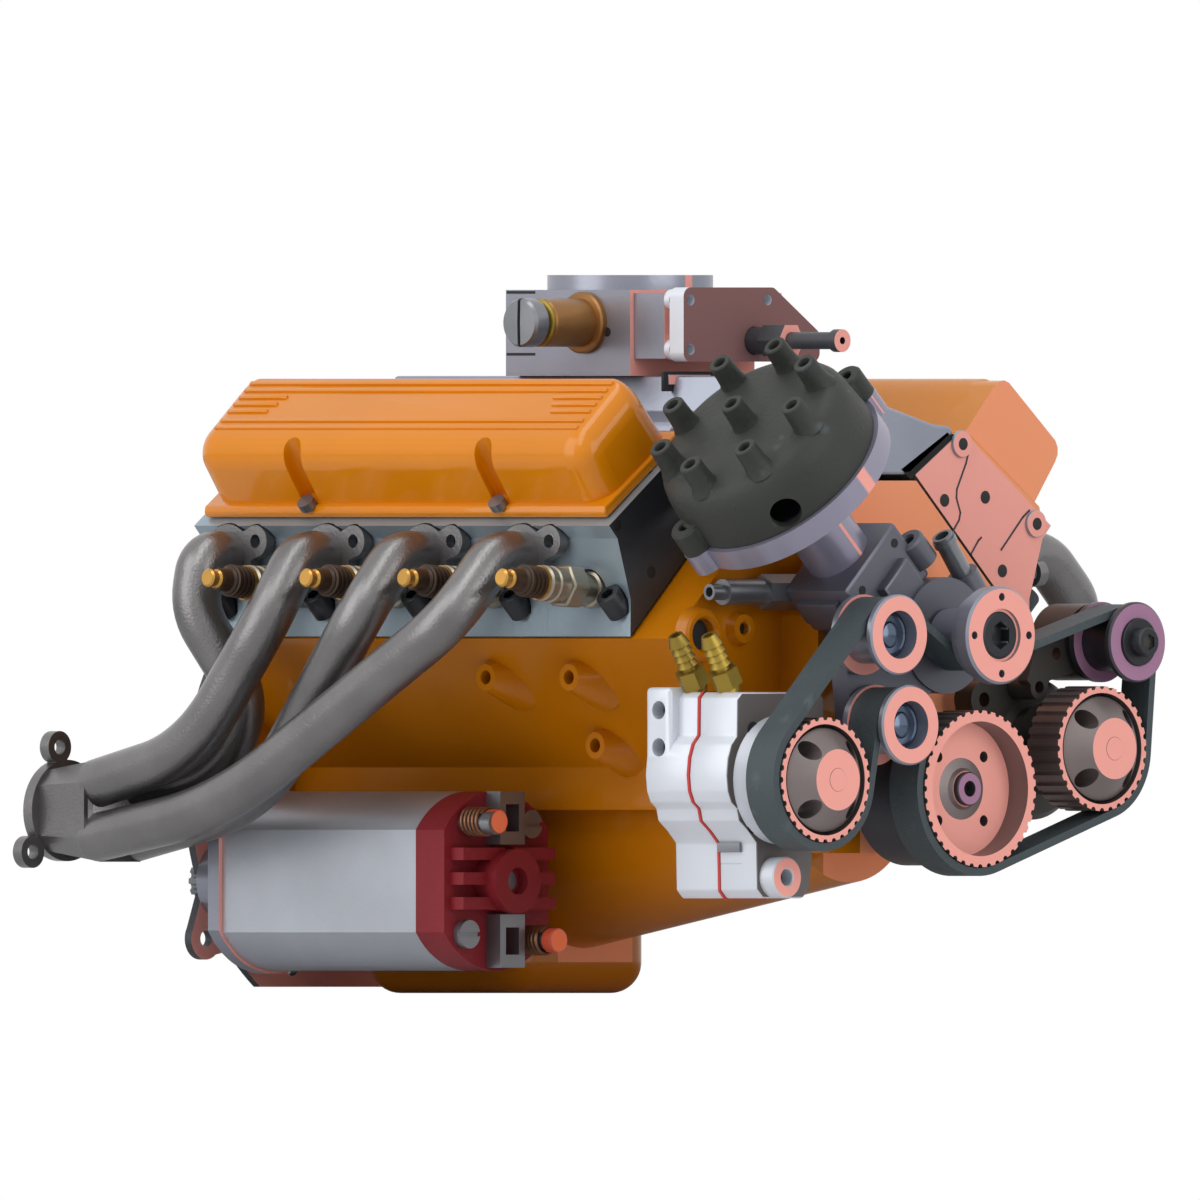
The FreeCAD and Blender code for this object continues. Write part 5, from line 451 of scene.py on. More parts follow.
def rounded_rectangle(low, high, radius, steps=6):
    """The corners of a rectangle with rounded corners, in order."""
    ring = []
    flat = 0.05
    for x, y, side_x, side_y, start in ((high[0], high[1], -1, -1, 0), (low[0], high[1], 1, -1, 90),
                                        (low[0], low[1], 1, 1, 180), (high[0], low[1], -1, 1, 270)):
        corner = []
        for step in range(steps + 1):
            angle = math.radians(start + 90 * step / steps)
            corner.append(Vector((x + side_x * radius + radius * math.cos(angle),
                                  y + side_y * radius + radius * math.sin(angle))))
        first = math.radians(start)
        last = math.radians(start + 90)
        before = Vector((math.sin(first), -math.cos(first))) * flat
        after = Vector((-math.sin(last), math.cos(last))) * flat
        ring += [tuple(place) for place in [corner[0] + before, *corner, corner[-1] + after]]
    return ring


def add_rings(bm, rings, matrix=None):
    """A closed skin over rings of equally many places, from the first ring to the last."""
    rows = [[bm.verts.new(place) for place in ring] for ring in rings]
    for lower, upper in zip(rows, rows[1:]):
        for number in range(len(lower)):
            after = (number + 1) % len(lower)
            bm.faces.new((lower[number], lower[after], upper[after], upper[number]))
    bm.faces.new(rows[0][::-1])
    bm.faces.new(rows[-1])
    return settle(bm, [vert for row in rows for vert in row], matrix)


def add_coil(bm, radius, wire, pitch, turns, matrix=None, steps=20, sides=8):
    """A helical spring along Z, as one closed round wire."""
    rings = []
    around = [2 * math.pi * number / sides for number in range(sides)]
    for step in range(int(turns * steps) + 1):
        angle = 2 * math.pi * step / steps
        out = Vector((math.cos(angle), math.sin(angle), 0))
        middle = out * radius + Vector((0, 0, pitch * step / steps))
        rings.append([middle + wire * (out * math.cos(part) + Vector((0, 0, 1)) * math.sin(part))
                      for part in around])
    return add_rings(bm, rings, matrix)


def add_box(bm, low, high, matrix=None, round_all=0.0, segments=2):
    """A box between two corners."""
    size = [b - a for a, b in zip(low, high)]
    middle = [(a + b) / 2 for a, b in zip(low, high)]
    made = bmesh.ops.create_cube(bm, size=1.0, matrix=shift(*middle) @ Matrix.Diagonal((*size, 1)))
    verts = made["verts"]
    if round_all:
        verts = soften(bm, verts, round_all, segments)
    return settle(bm, verts, matrix)


def add_prism(bm, radius, sides, low, high, matrix=None, round_all=0.0):
    """A regular prism along Z; radius is over its corners."""
    made = bmesh.ops.create_cone(bm, cap_ends=True, cap_tris=False, segments=sides, radius1=radius,
                                 radius2=radius, depth=high - low, matrix=shift(0, 0, (low + high) / 2))
    verts = made["verts"]
    if round_all:
        verts = soften(bm, verts, round_all, 1)
    return settle(bm, verts, matrix)


def add_copy(bm, mesh, matrix):
    """Put a copy of a finished mesh into a shell."""
    before = len(bm.verts)
    bm.from_mesh(mesh)
    bm.verts.ensure_lookup_table()
    verts = bm.verts[before:]
    bmesh.ops.transform(bm, matrix=matrix, verts=verts)
    return verts


def socket_screw(radius, height, drop=0.55, steps=28):
    """A socket-head screw as a mesh to copy, its seat at Z 0: a rounded head with a deep six-sided socket."""
    key = 0.5
    bm = bmesh.new()
    add_lathe(bm, [(0, 0), (radius, 0), (radius, height - 0.14 * radius),
                   (radius * 0.95, height - 0.04 * radius), (radius * 0.87, height), (0, height)],
              None, steps)
    tool = bmesh.new()
    add_prism(tool, radius * key * 1.15, 6, height * (1 - drop), height + 1)
    bm = carved(bm, tool)
    mesh = bpy.data.meshes.new("screw_to_copy")
    bm.to_mesh(mesh)
    bm.free()
    return mesh


CRISP = math.radians(32)
CRISP_AHEAD = math.radians(2)


def into_scene(name, bm):
    """Put a shell into the scene as an object."""
    mesh = bpy.data.meshes.new(name)
    bm.to_mesh(mesh)
    bm.free()
    made = bpy.data.objects.new(name, mesh)
    bpy.context.scene.collection.objects.link(made)
    return made


def shell_piece(name, bm, slot, nodes=(), body="engine"):
    """Make the finished object: smooth faces with crisp edges, its finish, and the body that it rides on."""
    bmesh.ops.scale(bm, vec=(MM, MM, MM), verts=bm.verts)
    for face in bm.faces:
        face.smooth = True
    for edge in bm.edges:
        turned = edge.calc_face_angle(0) if len(edge.link_faces) == 2 else 0
        # Edges of faces turned straight ahead stay crisp, so that the painted front light keeps to those
        # faces.
        ahead = any(face.normal.y < -0.9999 for face in edge.link_faces)
        edge.smooth = turned < (CRISP_AHEAD if ahead else CRISP)
    made = into_scene(name, bm)
    made.data.materials.append(ready_finish(slot))
    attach(made, body)
    if nodes:
        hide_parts(*nodes)
    return made


def carved(bm, cutter):
    """A shell with other shells taken out of it."""
    base = into_scene("carve_base", bm)
    tool = into_scene("carve_tool", cutter)
    change = base.modifiers.new("carve", "BOOLEAN")
    change.operation = "DIFFERENCE"
    change.solver = "EXACT"
    change.use_self = True
    change.object = tool
    graph = bpy.context.evaluated_depsgraph_get()
    graph.update()
    result = bmesh.new()
    cut = bpy.data.meshes.new_from_object(base.evaluated_get(graph))
    result.from_mesh(cut)
    for part in (base, tool):
        mesh = part.data
        bpy.data.objects.remove(part)
        bpy.data.meshes.remove(mesh)
    bpy.data.meshes.remove(cut)
    if not result.faces:
        raise RuntimeError("a carved shape came out empty")
    return result


# The pieces

COVER_LENGTH = 91.5
COVER_ROUND = 4.4
COVER_FOOT = 63.2
COVER_TOP = 74.9
COVER_END_GAP = 0.8
NEAR_COVER_REAR = -8.5
FAR_COVER_REAR = -17.4


def cover_ring(side, rear, level, inset):
    """One level of a cover's skin: a rounded rectangle in the bank's upright frame, drawn in by an inset."""
    outer = -0.9 - (level - COVER_FOOT) * 0.174 - inset
    inner = -20.2 - (level - 60.5) * 0.057 + inset * 0.3
    low = (inner, rear - COVER_LENGTH + COVER_END_GAP + inset)
    high = (outer, rear - COVER_END_GAP - inset)
    ring = rounded_rectangle(low, high, 4.6 - inset * 0.95)
    return [(side * u, along, sloped(level, u)) for u, along in ring]


def sloped(level, u):
    """A level across a cover: its foot leans more than its top."""
    return level + (0.115 - 0.0045 * (level - COVER_FOOT)) * (u + 2.9)


def far_cover_front():
    """The far cover's square-cut front end, as a thick plate."""
    places = [(-0.95, COVER_FOOT), (-2.4, 72.3), (-2.8, 73.5), (-3.6, 74.4), (-4.8, COVER_TOP),
              (-18.9, COVER_TOP), (-19.9, 74.5), (-20.6, 73.6), (-20.85, 72.4), (-20.4, COVER_FOOT)]
    bm = bmesh.new()
    start = FAR_COVER_REAR - COVER_LENGTH + COVER_END_GAP - 0.05
    add_slab(bm, [(u, sloped(level, u)) for u, level in places], start, 6, leaned(FAR))
    return bm


def screw_channel(side, middle):
    """The tool that cuts one screw's channel down a cover's outer wall."""
    tool = bmesh.new()
    place = shift(side * -1.9, middle, COVER_FOOT) @ turn(-9.9 * side)
    radius = 1.95
    low = 1.2
    high = 30
    add_rod(tool, radius, low, high, place, 32)
    left, right = sorted((0.0, side * 7.0))
    add_box(tool, (left, -radius, low), (right, radius, high), place)
    return tool


def valve_cover_mesh(side, rear):
    """One finned valve cover in its bank's upright frame, then leaned. Outboard is side * X there."""
    front = rear - COVER_LENGTH
    bm = bmesh.new()
    rings = [cover_ring(side, rear, COVER_FOOT, 0), cover_ring(side, rear, COVER_TOP - COVER_ROUND - 0.1, 0)]
    for step in range(9):
        angle = math.radians(90 * step / 8)
        rings.append(cover_ring(side, rear, COVER_TOP - COVER_ROUND * (1 - math.sin(angle)),
                                COVER_ROUND * (1 - math.cos(angle))))
    add_rings(bm, rings)
    for along in (-21.8, 21.8):
        bm = carved(bm, screw_channel(side, front + COVER_LENGTH / 2 + along))
    lip = [(0.7, 62.55), (0.7, 63.6), (-0.2, 64.3), (-20.2, 61.2), (-21.6, 60.3), (-21.6, 59.3)]
    add_slab(bm, [(side * u, z) for u, z in lip], front, COVER_LENGTH, None, 0.35)
    first = front + COVER_END_GAP + COVER_ROUND * 0.8
    last = rear - COVER_ROUND
    half = 0.42
    for u, run in ((-18.6, None), (-16.9, None), (-9.6, None), (-7.9, None), (-15.2, 11), (-13.5, 10),
                   (-11.8, 9)):
        level = COVER_TOP + 0.062 * (u + 2.9)
        stretches = [(first, last)]
        if run:
            stretches = [(first, first + run), (last - run, last)]
        for start, end in stretches:
            low = (side * u - half, start, level - 1.2)
            add_box(bm, low, (side * u + half, end, level + 0.36), None, 0.24)
    bmesh.ops.transform(bm, matrix=leaned(side), verts=bm.verts)
    return bm


class ENGINE_OT_valve_covers(Operator):
    """Builds the finned valve covers with their screw channels"""
    bl_idname = "engine.valve_covers"
    bl_label = "Valve covers"

    def execute(self, context):
        near = valve_cover_mesh(NEAR, NEAR_COVER_REAR)
        shell_piece("near_cover_shell", near, "cover_paint", ["near_valve_cover"])
        far = valve_cover_mesh(FAR, FAR_COVER_REAR)
        shell_piece("far_cover_shell", far, "cover_paint", ["far_valve_cover"])
        shell_piece("far_cover_end", far_cover_front(), "cover_paint")
        return {"FINISHED"}


def distributor_frame():
    """The distributor's axis: Z points along it, X lies in its lean."""
    return shift(0, -122.8, 23) @ turn(-45)


def distributor_cap_mesh():
    """The cap's shell with its side hole, its towers and its two screw lugs."""
    bm = bmesh.new()
    base = 40.02
    reach = 13.6
    axis = distributor_frame()
    add_lathe(bm, [(16.2, base), (17.7, base), (17.75, base + 1), (17.3, 46.6), (17.0, 48.0), (16.2, 49.4),
                   (15.0, 50.3), (13.6, 50.7), (0, 50.9), (0, 48.8), (14.4, 48.8), (15.8, 47),
                   (16.2, base + 1)], axis, 72)
    tool = bmesh.new()
    add_rod(tool, 2.6, 14, 22, axis @ turn(-135, "Z") @ shift(0, 0, 42.9) @ turn(90), 32)
    bm = carved(bm, tool)
    tower = [(0, 49.5), (2.75, 50.0), (2.35, 50.9), (2.1, 51.8), (2.0, 53.2), (1.9, 55.4), (1.75, 55.6),
             (1.1, 55.6), (0.95, 55.3), (0.85, 53.2), (0.8, 51.2), (0, 51.2)]
    for number in range(8):
        angle = math.radians(45 * number)
        add_lathe(bm, tower, axis @ shift(reach * math.cos(angle), reach * math.sin(angle), -0.3), 28)
    add_lathe(bm, tower, axis, 28)
    for half in (0, 180):
        place = axis @ turn(-20 + half, "Z")
        add_lathe(bm, [(1.0, base), (2.7, base), (2.7, base + 4.2), (2.4, base + 4.6), (1.2, base + 4.6),
                       (1.0, base + 4.3)], place @ shift(18.2, 0, 0), 28)
        add_box(bm, (14.6, -2.7, base), (18.2, 2.7, base + 4.3), place, 0.3)
    return bm


class ENGINE_OT_distributor_cap(Operator):
    """Builds the distributor cap with its nine towers"""
    bl_idname = "engine.distributor_cap"
    bl_label = "Distributor cap"

    def execute(self, context):
        cap = distributor_cap_mesh()
        shell_piece("distributor_cap_shell", cap, "cap_moulding", ["distributor_cap"])
        return {"FINISHED"}


def bore_place(side, number):
    """Where a bore lies along the engine."""
    return FIRST_BORE - number * BORE_PITCH - (FAR_BANK_BACK if side == FAR else 0)


class ENGINE_OT_spark_plugs(Operator):
    """Builds the eight spark plugs"""
    bl_idname = "engine.spark_plugs"
    bl_label = "Spark plugs"

    def execute(self, context):
        metal, ribs, gold = (bmesh.new() for _ in range(3))
        for side in (NEAR, FAR):
            for number in range(4):
                along = bore_place(side, number) + side * 5.6
                place = shift(side * 41.3, along, 32.1) @ turn(side * 84.5)
                add_lathe(metal, [(0, -5), (1.85, -5), (1.85, 0), (2.95, 0.05), (3.05, 0.5), (2.95, 1.1),
                                  (2.5, 1.3), (2.5, 3.7), (3.1, 3.9), (3.1, 4.2), (0, 4.2)], place, 32)
                add_prism(metal, 3.75, 6, 4.1, 7.7, place, 0.3)
                add_lathe(metal, [(0, 7.6), (2.9, 7.6), (2.75, 8.3), (2.75, 9.0), (3.0, 9.2), (3.0, 9.9),
                                  (2.7, 10.1), (2.7, 10.9), (2.95, 11.1), (2.95, 11.7), (2.6, 12.0),
                                  (2.5, 12.7), (0, 12.7)], place, 32)
                profile = [(0, 12.6), (2.3, 12.6)]
                for rib in range(4):
                    start = 12.8 + rib * 0.95
                    profile += [(2.65, start), (2.65, start + 0.5), (2.3, start + 0.65), (2.3, start + 0.9)]
                profile += [(1.9, 16.9), (1.8, 18.9), (0, 18.9)]
                add_lathe(ribs, profile, place, 28)
                add_lathe(gold, [(0, 18.8), (1.45, 18.8), (1.55, 19.2), (1.25, 19.6), (1.25, 20.3),
                                 (1.5, 20.6), (1.5, 21.0), (1.2, 21.3), (0, 21.3)], place, 24)
                add_lathe(gold, [(2.0, 12.3), (2.78, 12.3), (2.78, 12.8), (2.0, 12.8)], place, 28)
        shell_piece("plug_bodies", metal, "plug_plating", ["spark_plugs"])
        shell_piece("plug_insulators", ribs, "plug_brown")
        shell_piece("plug_terminals", gold, "plug_gold")
        return {"FINISHED"}


class ENGINE_OT_head_bolts(Operator):
    """Builds the socket-head bolts along both heads"""
    bl_idname = "engine.head_bolts"
    bl_label = "Head bolts"

    def execute(self, context):
        bm = bmesh.new()
        screw = socket_screw(2.1, 4.2)
        for side in (NEAR, FAR):
            for number in range(5):
                along = bore_place(side, 0) + BORE_PITCH / 2 - number * BORE_PITCH
                add_copy(bm, screw, leaned(side) @ shift(side * 8.6, along, 49.0))
        shell_piece("head_bolt_heads", bm, "black_screws", ["head_bolts"])
        return {"FINISHED"}


def add_hole_shade_spots(bm, places, radius, front):
    """Dark round spots that paint the shade in small holes of a face turned to the front."""
    for x, z in places:
        add_lathe(bm, [(0, 0), (radius, 0), (radius, 0.05), (radius * 0.9, 0.08), (0, 0.02)],
                  ahead_at(x, front, z), 24)


def add_groove_shade(bm, points, width, front):
    """A thin dark line along points of a front face, painting the shade in a groove."""
    for (x0, z0), (x1, z1) in zip(points, points[1:]):
        long = math.hypot(x1 - x0, z1 - z0)
        lean_of = math.degrees(math.atan2(-(z1 - z0), x1 - x0))
        add_box(bm, (-0.1, -0.05, -width / 2), (long + 0.1, 0.0, width / 2),
                shift(x0, front, z0) @ turn(lean_of))


PUMP_OUTLINE = ((-44.8, 14.6), (-43.8, 15.6), (-26.0, 15.6), (-25.2, 14.8), (-25.0, 8.0), (-23.9, 2.0),
                (-25.0, -5.0), (-27.6, -9.4), (-28.4, -16.4), (-29.8, -17.7), (-38.9, -17.7), (-40.2, -16.4),
                (-40.4, -8.8), (-42.4, -6.8), (-44.4, -5.2), (-44.9, -3.2), (-46.2, -2.2), (-47.0, -0.4),
                (-47.3, 2.2), (-47.0, 5.0), (-46.2, 7.2), (-44.9, 8.6))


def pump_outline(across, up):
    """The pump's outline, drawn out or in about its middle."""
    return [(-35.6 + (x + 35.6) * across, -1 + (z + 1) * up) for x, z in PUMP_OUTLINE]


class ENGINE_OT_oil_pump(Operator):
    """Builds the oil pump's stepped body with its seal, ear, hub and stand-off"""
    bl_idname = "engine.oil_pump"
    bl_label = "Oil pump"

    def execute(self, context):
        body = bmesh.new()
        seal_width = 0.5
        add_slab(body, PUMP_OUTLINE, PUMP_SPLIT + seal_width, 9.6, None, 0.3)
        add_slab(body, PUMP_OUTLINE, PUMP_FRONT, PUMP_SPLIT - PUMP_FRONT, None, 0.3)
        add_box(body, (-46.9, -116.4, 1.2), (-38, -110.8, 16.4), None, 0.8, 3)
        ear, heights = PUMP_EAR
        tool = bmesh.new()
        for z in heights:
            add_rod(tool, 1.5, 0, 5, aimed((-48.5, ear, z), (1, 0, 0)), 28)
        body = carved(body, tool)
        add_lathe(body, [(2.6, 0), (10.5, 0), (10.2, 0.6), (8.4, 2.9), (2.6, 2.9)],
                  ahead_at(PUMP_AXIS[0], PUMP_FRONT, PUMP_AXIS[1]), 56)
        shell_piece("oil_pump_body", body, "white_aluminium", ["oil_pump_front", "oil_pump_rear"])
        seal = bmesh.new()
        add_slab(seal, pump_outline(1.012, 1.01), PUMP_SPLIT, seal_width)
        shell_piece("oil_pump_seal", seal, "red_seal", ["oil_pump_gasket"])
        # A thin darker sheet over the white pump's front face paints the shade on that face.
        face = bmesh.new()
        add_slab(face, pump_outline(0.985, 0.985), PUMP_FRONT - 0.15, 0.3)
        shell_piece("oil_pump_face", face, "pump_face")
        boss = bmesh.new()
        across, up = PUMP_STANDOFF
        add_lathe(boss, [(1.35, -2), (3.3, -2), (3.3, 2.9), (3.1, 3.1), (1.5, 3.1), (1.35, 2.9)],
                  ahead_at(across, PUMP_FRONT - 0.1, up), 40)
        shell_piece("oil_pump_standoff", boss, "pump_boss")
        # Dark spots paint the shade in the pump's holes, in the stand-off's bore and in the ear's holes.
        marks = bmesh.new()
        add_hole_shade_spots(marks, ((-41.3, 9.6), (-41.3, -6.0), (-29.2, 9.6)), 1.25, PUMP_FRONT - 0.16)
        add_rod(marks, 1.45, 0, 0.1, ahead_at(across, PUMP_FRONT - 0.5, up))
        for z in heights:
            add_rod(marks, 1.48, 0, 0.1, aimed((-44.2, ear, z), (-1, 0, 0)))
        shell_piece("oil_pump_hole_shade", marks, "shadowed_bore")
        return {"FINISHED"}


INTAKE_PROFILE = ((-14.0, 50.7), (14.06, 50.7), (24.1, 57.4), (23.1, 59.2), (12.5, 60.8), (11.5, 66.7),
                  (-11.5, 66.7), (-12.5, 60.8), (-14.0, 60.5))
INTAKE_NOSE = ((-14.0, 50.7), (14.06, 50.7), (24.1, 57.4), (23.3, 58.6), (19.5, 58.9), (6.8, 62.4),
               (4.6, 62.9), (-6, 62.9), (-9, 66.6), (-11.5, 66.6), (-12.5, 60.8), (-14.0, 60.5))
INTAKE_REAR = ((-24.1, 57.4), (-14.06, 50.7), (14.06, 50.7), (24.1, 57.4), (23.1, 59.2), (12.5, 60.8),
               (11.5, 66.7), (-11.5, 66.7), (-12.5, 60.8), (-23.1, 59.2))


class ENGINE_OT_intake(Operator):
    """Builds the intake manifold with its stepped front, its runners and its gasket edge"""
    bl_idname = "engine.intake"
    bl_label = "Intake manifold"

    def execute(self, context):
        body = bmesh.new()
        add_slab(body, INTAKE_REAR, -93.3, 75.3, None, 0.5)
        tool = bmesh.new()
        add_rod(tool, 9.6, 50, 72, shift(0, THROTTLE_PLACE, 0), 56)
        body = carved(body, tool)
        add_slab(body, INTAKE_PROFILE, -102.2, 9.8, None, 0.5)
        add_slab(body, INTAKE_NOSE, INTAKE_FRONT, 9, None, 0.5)
        shell_piece("intake_casting_body", body, "intake_casting", ["intake_manifold"])
        edge = bmesh.new()
        add_slab(edge, ((12.0, 51.6), (22.6, 57.6), (24.0, 56.4), (14.1, 50.0)), INTAKE_FRONT, 0.45)
        shell_piece("intake_gasket_edge", edge, "gasket_paper")
        return {"FINISHED"}


class ENGINE_OT_crank_nose(Operator):
    """Builds the ringed nose in the crank pulley's recess"""
    bl_idname = "engine.crank_nose"
    bl_label = "Crank nose"

    def execute(self, context):
        bm = bmesh.new()
        add_lathe(bm, [(1.2, 0), (2.75, 0), (2.75, 1.6), (2.55, 1.8), (1.3, 1.8), (1.2, 1.6)],
                  ahead_at(0, -136.3, 0), 40)
        shell_piece("crank_nose_ring", bm, "purple_anodised", body="crank")
        return {"FINISHED"}


class ENGINE_OT_starter_details(Operator):
    """Builds the starter's brush springs and their end caps"""
    bl_idname = "engine.starter_details"
    bl_label = "Starter details"

    def execute(self, context):
        springs = bmesh.new()
        caps = bmesh.new()
        for x, z in ((-39.0, -5.3), (-25.4, -24.5)):
            add_coil(springs, 2.15, 0.3, 0.85, 5.4, ahead_at(x, -62.6, z))
            add_lathe(caps, [(0, 0), (1.96, 0), (2.0, 0.2), (2.0, 1.9), (1.8, 2.12), (0, 2.12)],
                      ahead_at(x, -67.55, z), 32)
        shell_piece("brush_springs", springs, "copper_wire")
        shell_piece("brush_caps", caps, "brush_end")
        return {"FINISHED"}


class ENGINE_OT_throttle_details(Operator):
    """Builds the idle valve, and dark marks that paint the shade in the throttle body's slots, hole and
    gasket frame
    """
    bl_idname = "engine.throttle_details"
    bl_label = "Throttle details"

    def execute(self, context):
        along = aimed((THROTTLE_SIDE, -64.4, 75.3), (-1, 0, 0))
        brass = bmesh.new()
        add_lathe(brass, [(0, 0), (5.0, 0), (5.0, 0.9), (4.7, 1.2), (3.9, 1.3), (3.9, 10.0), (3.7, 10.3),
                          (0, 10.3)], along, 48)
        shell_piece("idle_valve_body", brass, "brown_brass", ["idle_valve"])
        ring = bmesh.new()
        add_lathe(ring, [(0, 10.3), (3.6, 10.3), (3.9, 10.6), (3.9, 11.0), (3.4, 11.3), (2.4, 11.5),
                         (2.4, 12.2), (0, 12.2)], along)
        shell_piece("idle_valve_collar", ring, "brass")
        head = bmesh.new()
        add_lathe(head, [(0, 12.1), (3.9, 12.1), (3.95, 12.4), (3.95, 14.6), (3.6, 15.1), (0, 15.2)],
                  along, 48)
        tool = bmesh.new()
        add_box(tool, (-0.32, -6, 14.0), (0.32, 6, 17), along)
        head = carved(head, tool)
        shell_piece("idle_valve_head", head, "bright_screws")
        # Dark marks: painted shade in the throttle body's hole, its two slots and its gasket frame.
        marks = bmesh.new()
        add_rod(marks, 0.75, 0, 0.06, aimed((THROTTLE_SIDE, -69.5, 73.8), (-1, 0, 0)))
        for z in (80.2, 70.2):
            add_box(marks, (THROTTLE_SIDE - 0.06, -53.0, z - 0.22), (THROTTLE_SIDE + 0.1, -46.5, z + 0.22))
        add_box(marks, (THROTTLE_SIDE, -82.3, 64.2), (-0.8, -81.75, 67.4), None, 0.1)
        shell_piece("throttle_shade_marks", marks, "shadowed_bore")
        # A thin strip whose front face takes the painted front light of machined_aluminium.
        insert = bmesh.new()
        add_box(insert, (-13.2, -82.5, 65.3), (-3.6, -82.2, 66.9), None, 0.05)
        shell_piece("throttle_insert", insert, "machined_aluminium")
        return {"FINISHED"}


class ENGINE_OT_distributor_clamp(Operator):
    """Builds the clamp block round the distributor's stem"""
    bl_idname = "engine.distributor_clamp"
    bl_label = "Distributor clamp"

    def execute(self, context):
        bm = bmesh.new()
        place = distributor_frame()
        front = -7.4
        add_box(bm, (-8.4, front, 9), (7.6, 6.8, 21), place, 0.7)
        add_box(bm, (-9.6, -4.6, 13), (9.0, 4.4, 19), place, 0.5)
        add_box(bm, (-3.0, -9.2, 9), (4.5, -6.0, 16), place, 0.5)
        add_lathe(bm, [(1.0, 0), (2.6, 0), (2.6, 4.6), (2.3, 5.0), (1.3, 5.0), (1.0, 4.7)],
                  place @ shift(8.4, -6.4, 11), 28)
        shell_piece("distributor_clamp_block", bm, "pump_grey")
        # Dark discs paint the shade in the clamp's holes.
        marks = bmesh.new()
        for x, z in ((-5.2, 11.4), (-5.4, 18.2), (5.2, 18.4)):
            add_rod(marks, 0.75, 0, 0.08, place @ ahead_at(x, front, z), 20)
        shell_piece("distributor_clamp_hole_shade", marks, "shadowed_bore")
        return {"FINISHED"}


class ENGINE_OT_block_bosses(Operator):
    """Builds the ringed boss and the small bosses on the block's near front"""
    bl_idname = "engine.block_bosses"
    bl_label = "Block bosses"

    def execute(self, context):
        bm = bmesh.new()
        add_lathe(bm, [(2.5, -0.3), (4.6, -0.3), (4.4, 0.6), (4.2, 1.7), (3.7, 2.1), (3.0, 2.1), (2.6, 1.6)],
                  ahead_at(RINGED_BOSS[0], BLOCK_FRONT, RINGED_BOSS[1]), 48)
        add_lathe(bm, [(1.0, -0.3), (3.0, -0.3), (2.5, 0.8), (2.3, 1.6), (1.3, 1.7), (1.0, 1.4)],
                  ahead_at(SMALL_BOSS[0], BLOCK_FRONT, SMALL_BOSS[1]), 36)
        shell_piece("block_front_bosses", bm, "block_paint")
        # Dark discs paint the shade in the bosses' holes.
        marks = bmesh.new()
        add_hole_shade_spots(marks, (RINGED_BOSS,), 2.55, BLOCK_FRONT)
        add_hole_shade_spots(marks, (SMALL_BOSS,), 1.05, BLOCK_FRONT - 0.4)
        shell_piece("block_boss_hole_shade", marks, "shadowed_bore")
        return {"FINISHED"}


class ENGINE_OT_head_fronts(Operator):
    """Builds the bolt ears on the heads' front faces, and dark marks painting the shade in tapped holes and
    grooves
    """
    bl_idname = "engine.head_fronts"
    bl_label = "Head fronts"

    def execute(self, context):
        proud = 0.02
        front = BLOCK_FRONT - proud
        near_front = NEAR_HEAD_FRONT - proud
        ear_places = ((25.4, 55.7), (42.3, 42.8))
        ears = bmesh.new()
        for x, z in ear_places:
            add_lathe(ears, [(0, 0), (2.2, 0), (2.2, 0.45), (2.1, 0.55), (0, 0.55)],
                      ahead_at(x, front, z), 36)
        shell_piece("head_front_ears", ears, "head_casting")
        # Dark discs paint the shade in the ears' and heads' tapped holes.
        marks = bmesh.new()
        add_hole_shade_spots(marks, ear_places, 1.0, front - 0.55)
        add_hole_shade_spots(marks, ((21.7, 46.6), (31.0, 47.1), (34.9, 35.2)), 1.05, front)
        add_hole_shade_spots(marks, ((-44.2, 42.6), (-36.4, 35.0)), 0.95, near_front)
        shell_piece("head_front_hole_shade", marks, "shadowed_bore")
        # Thin dark strips paint the shade in the grooves of the far head's front.
        lines = bmesh.new()
        for points in ([(27.5, 55.4), (26.6, 52.6), (24.5, 48.4), (24.4, 47.0), (25.3, 44.6), (25.0, 43.4),
                        (23.4, 41.4)],
                       [(41.1, 45.0), (39.6, 43.9), (34.6, 38.6)],
                       [(30.1, 40.6), (29.4, 40.1), (27.8, 38.0)]):
            add_groove_shade(lines, points, 0.34, front)
        shell_piece("head_front_groove_shade", lines, "damper_steel")
        return {"FINISHED"}


class ENGINE_OT_idler_bearings(Operator):
    """Builds the bright bearings inside the idlers' bores"""
    bl_idname = "engine.idler_bearings"
    bl_label = "Idler bearings"

    def execute(self, context):
        bm = bmesh.new()
        for x, z in IDLERS:
            add_lathe(bm, [(0, 0.0), (3.86, 0.0), (3.86, 0.5), (3.3, 0.8), (3.1, 0.55), (2.2, 0.5),
                           (1.9, 0.95), (1.2, 1.2), (0, 1.3)], ahead_at(x, -138.9, z))
        shell_piece("idler_bearing_faces", bm, "bearing_face")
        return {"FINISHED"}


class ENGINE_OT_hub_screws(Operator):
    """Builds the socket screws in the hubs of the belt's wheels"""
    bl_idname = "engine.hub_screws"
    bl_label = "Hub screws"

    def execute(self, context):
        bm = bmesh.new()
        add_copy(bm, socket_screw(4.0, 2.6, 0.7, 40), ahead_at(0, -142.5, WATER_PUMP_HEIGHT))
        shell_piece("water_hub_screw", bm, "black_screws", body="water_pump")
        bm = bmesh.new()
        across, up = TENSIONER
        add_copy(bm, socket_screw(2.35, 2.1, 0.7), ahead_at(across, -142.3, up))
        add_lathe(bm, [(0, 0), (3.85, 0), (3.85, 0.5), (3.7, 0.62), (0, 0.62)],
                  ahead_at(across, -141.75, up), 36)
        shell_piece("tensioner_screw", bm, "black_screws")
        return {"FINISHED"}


# Sizes and colours that a user would change

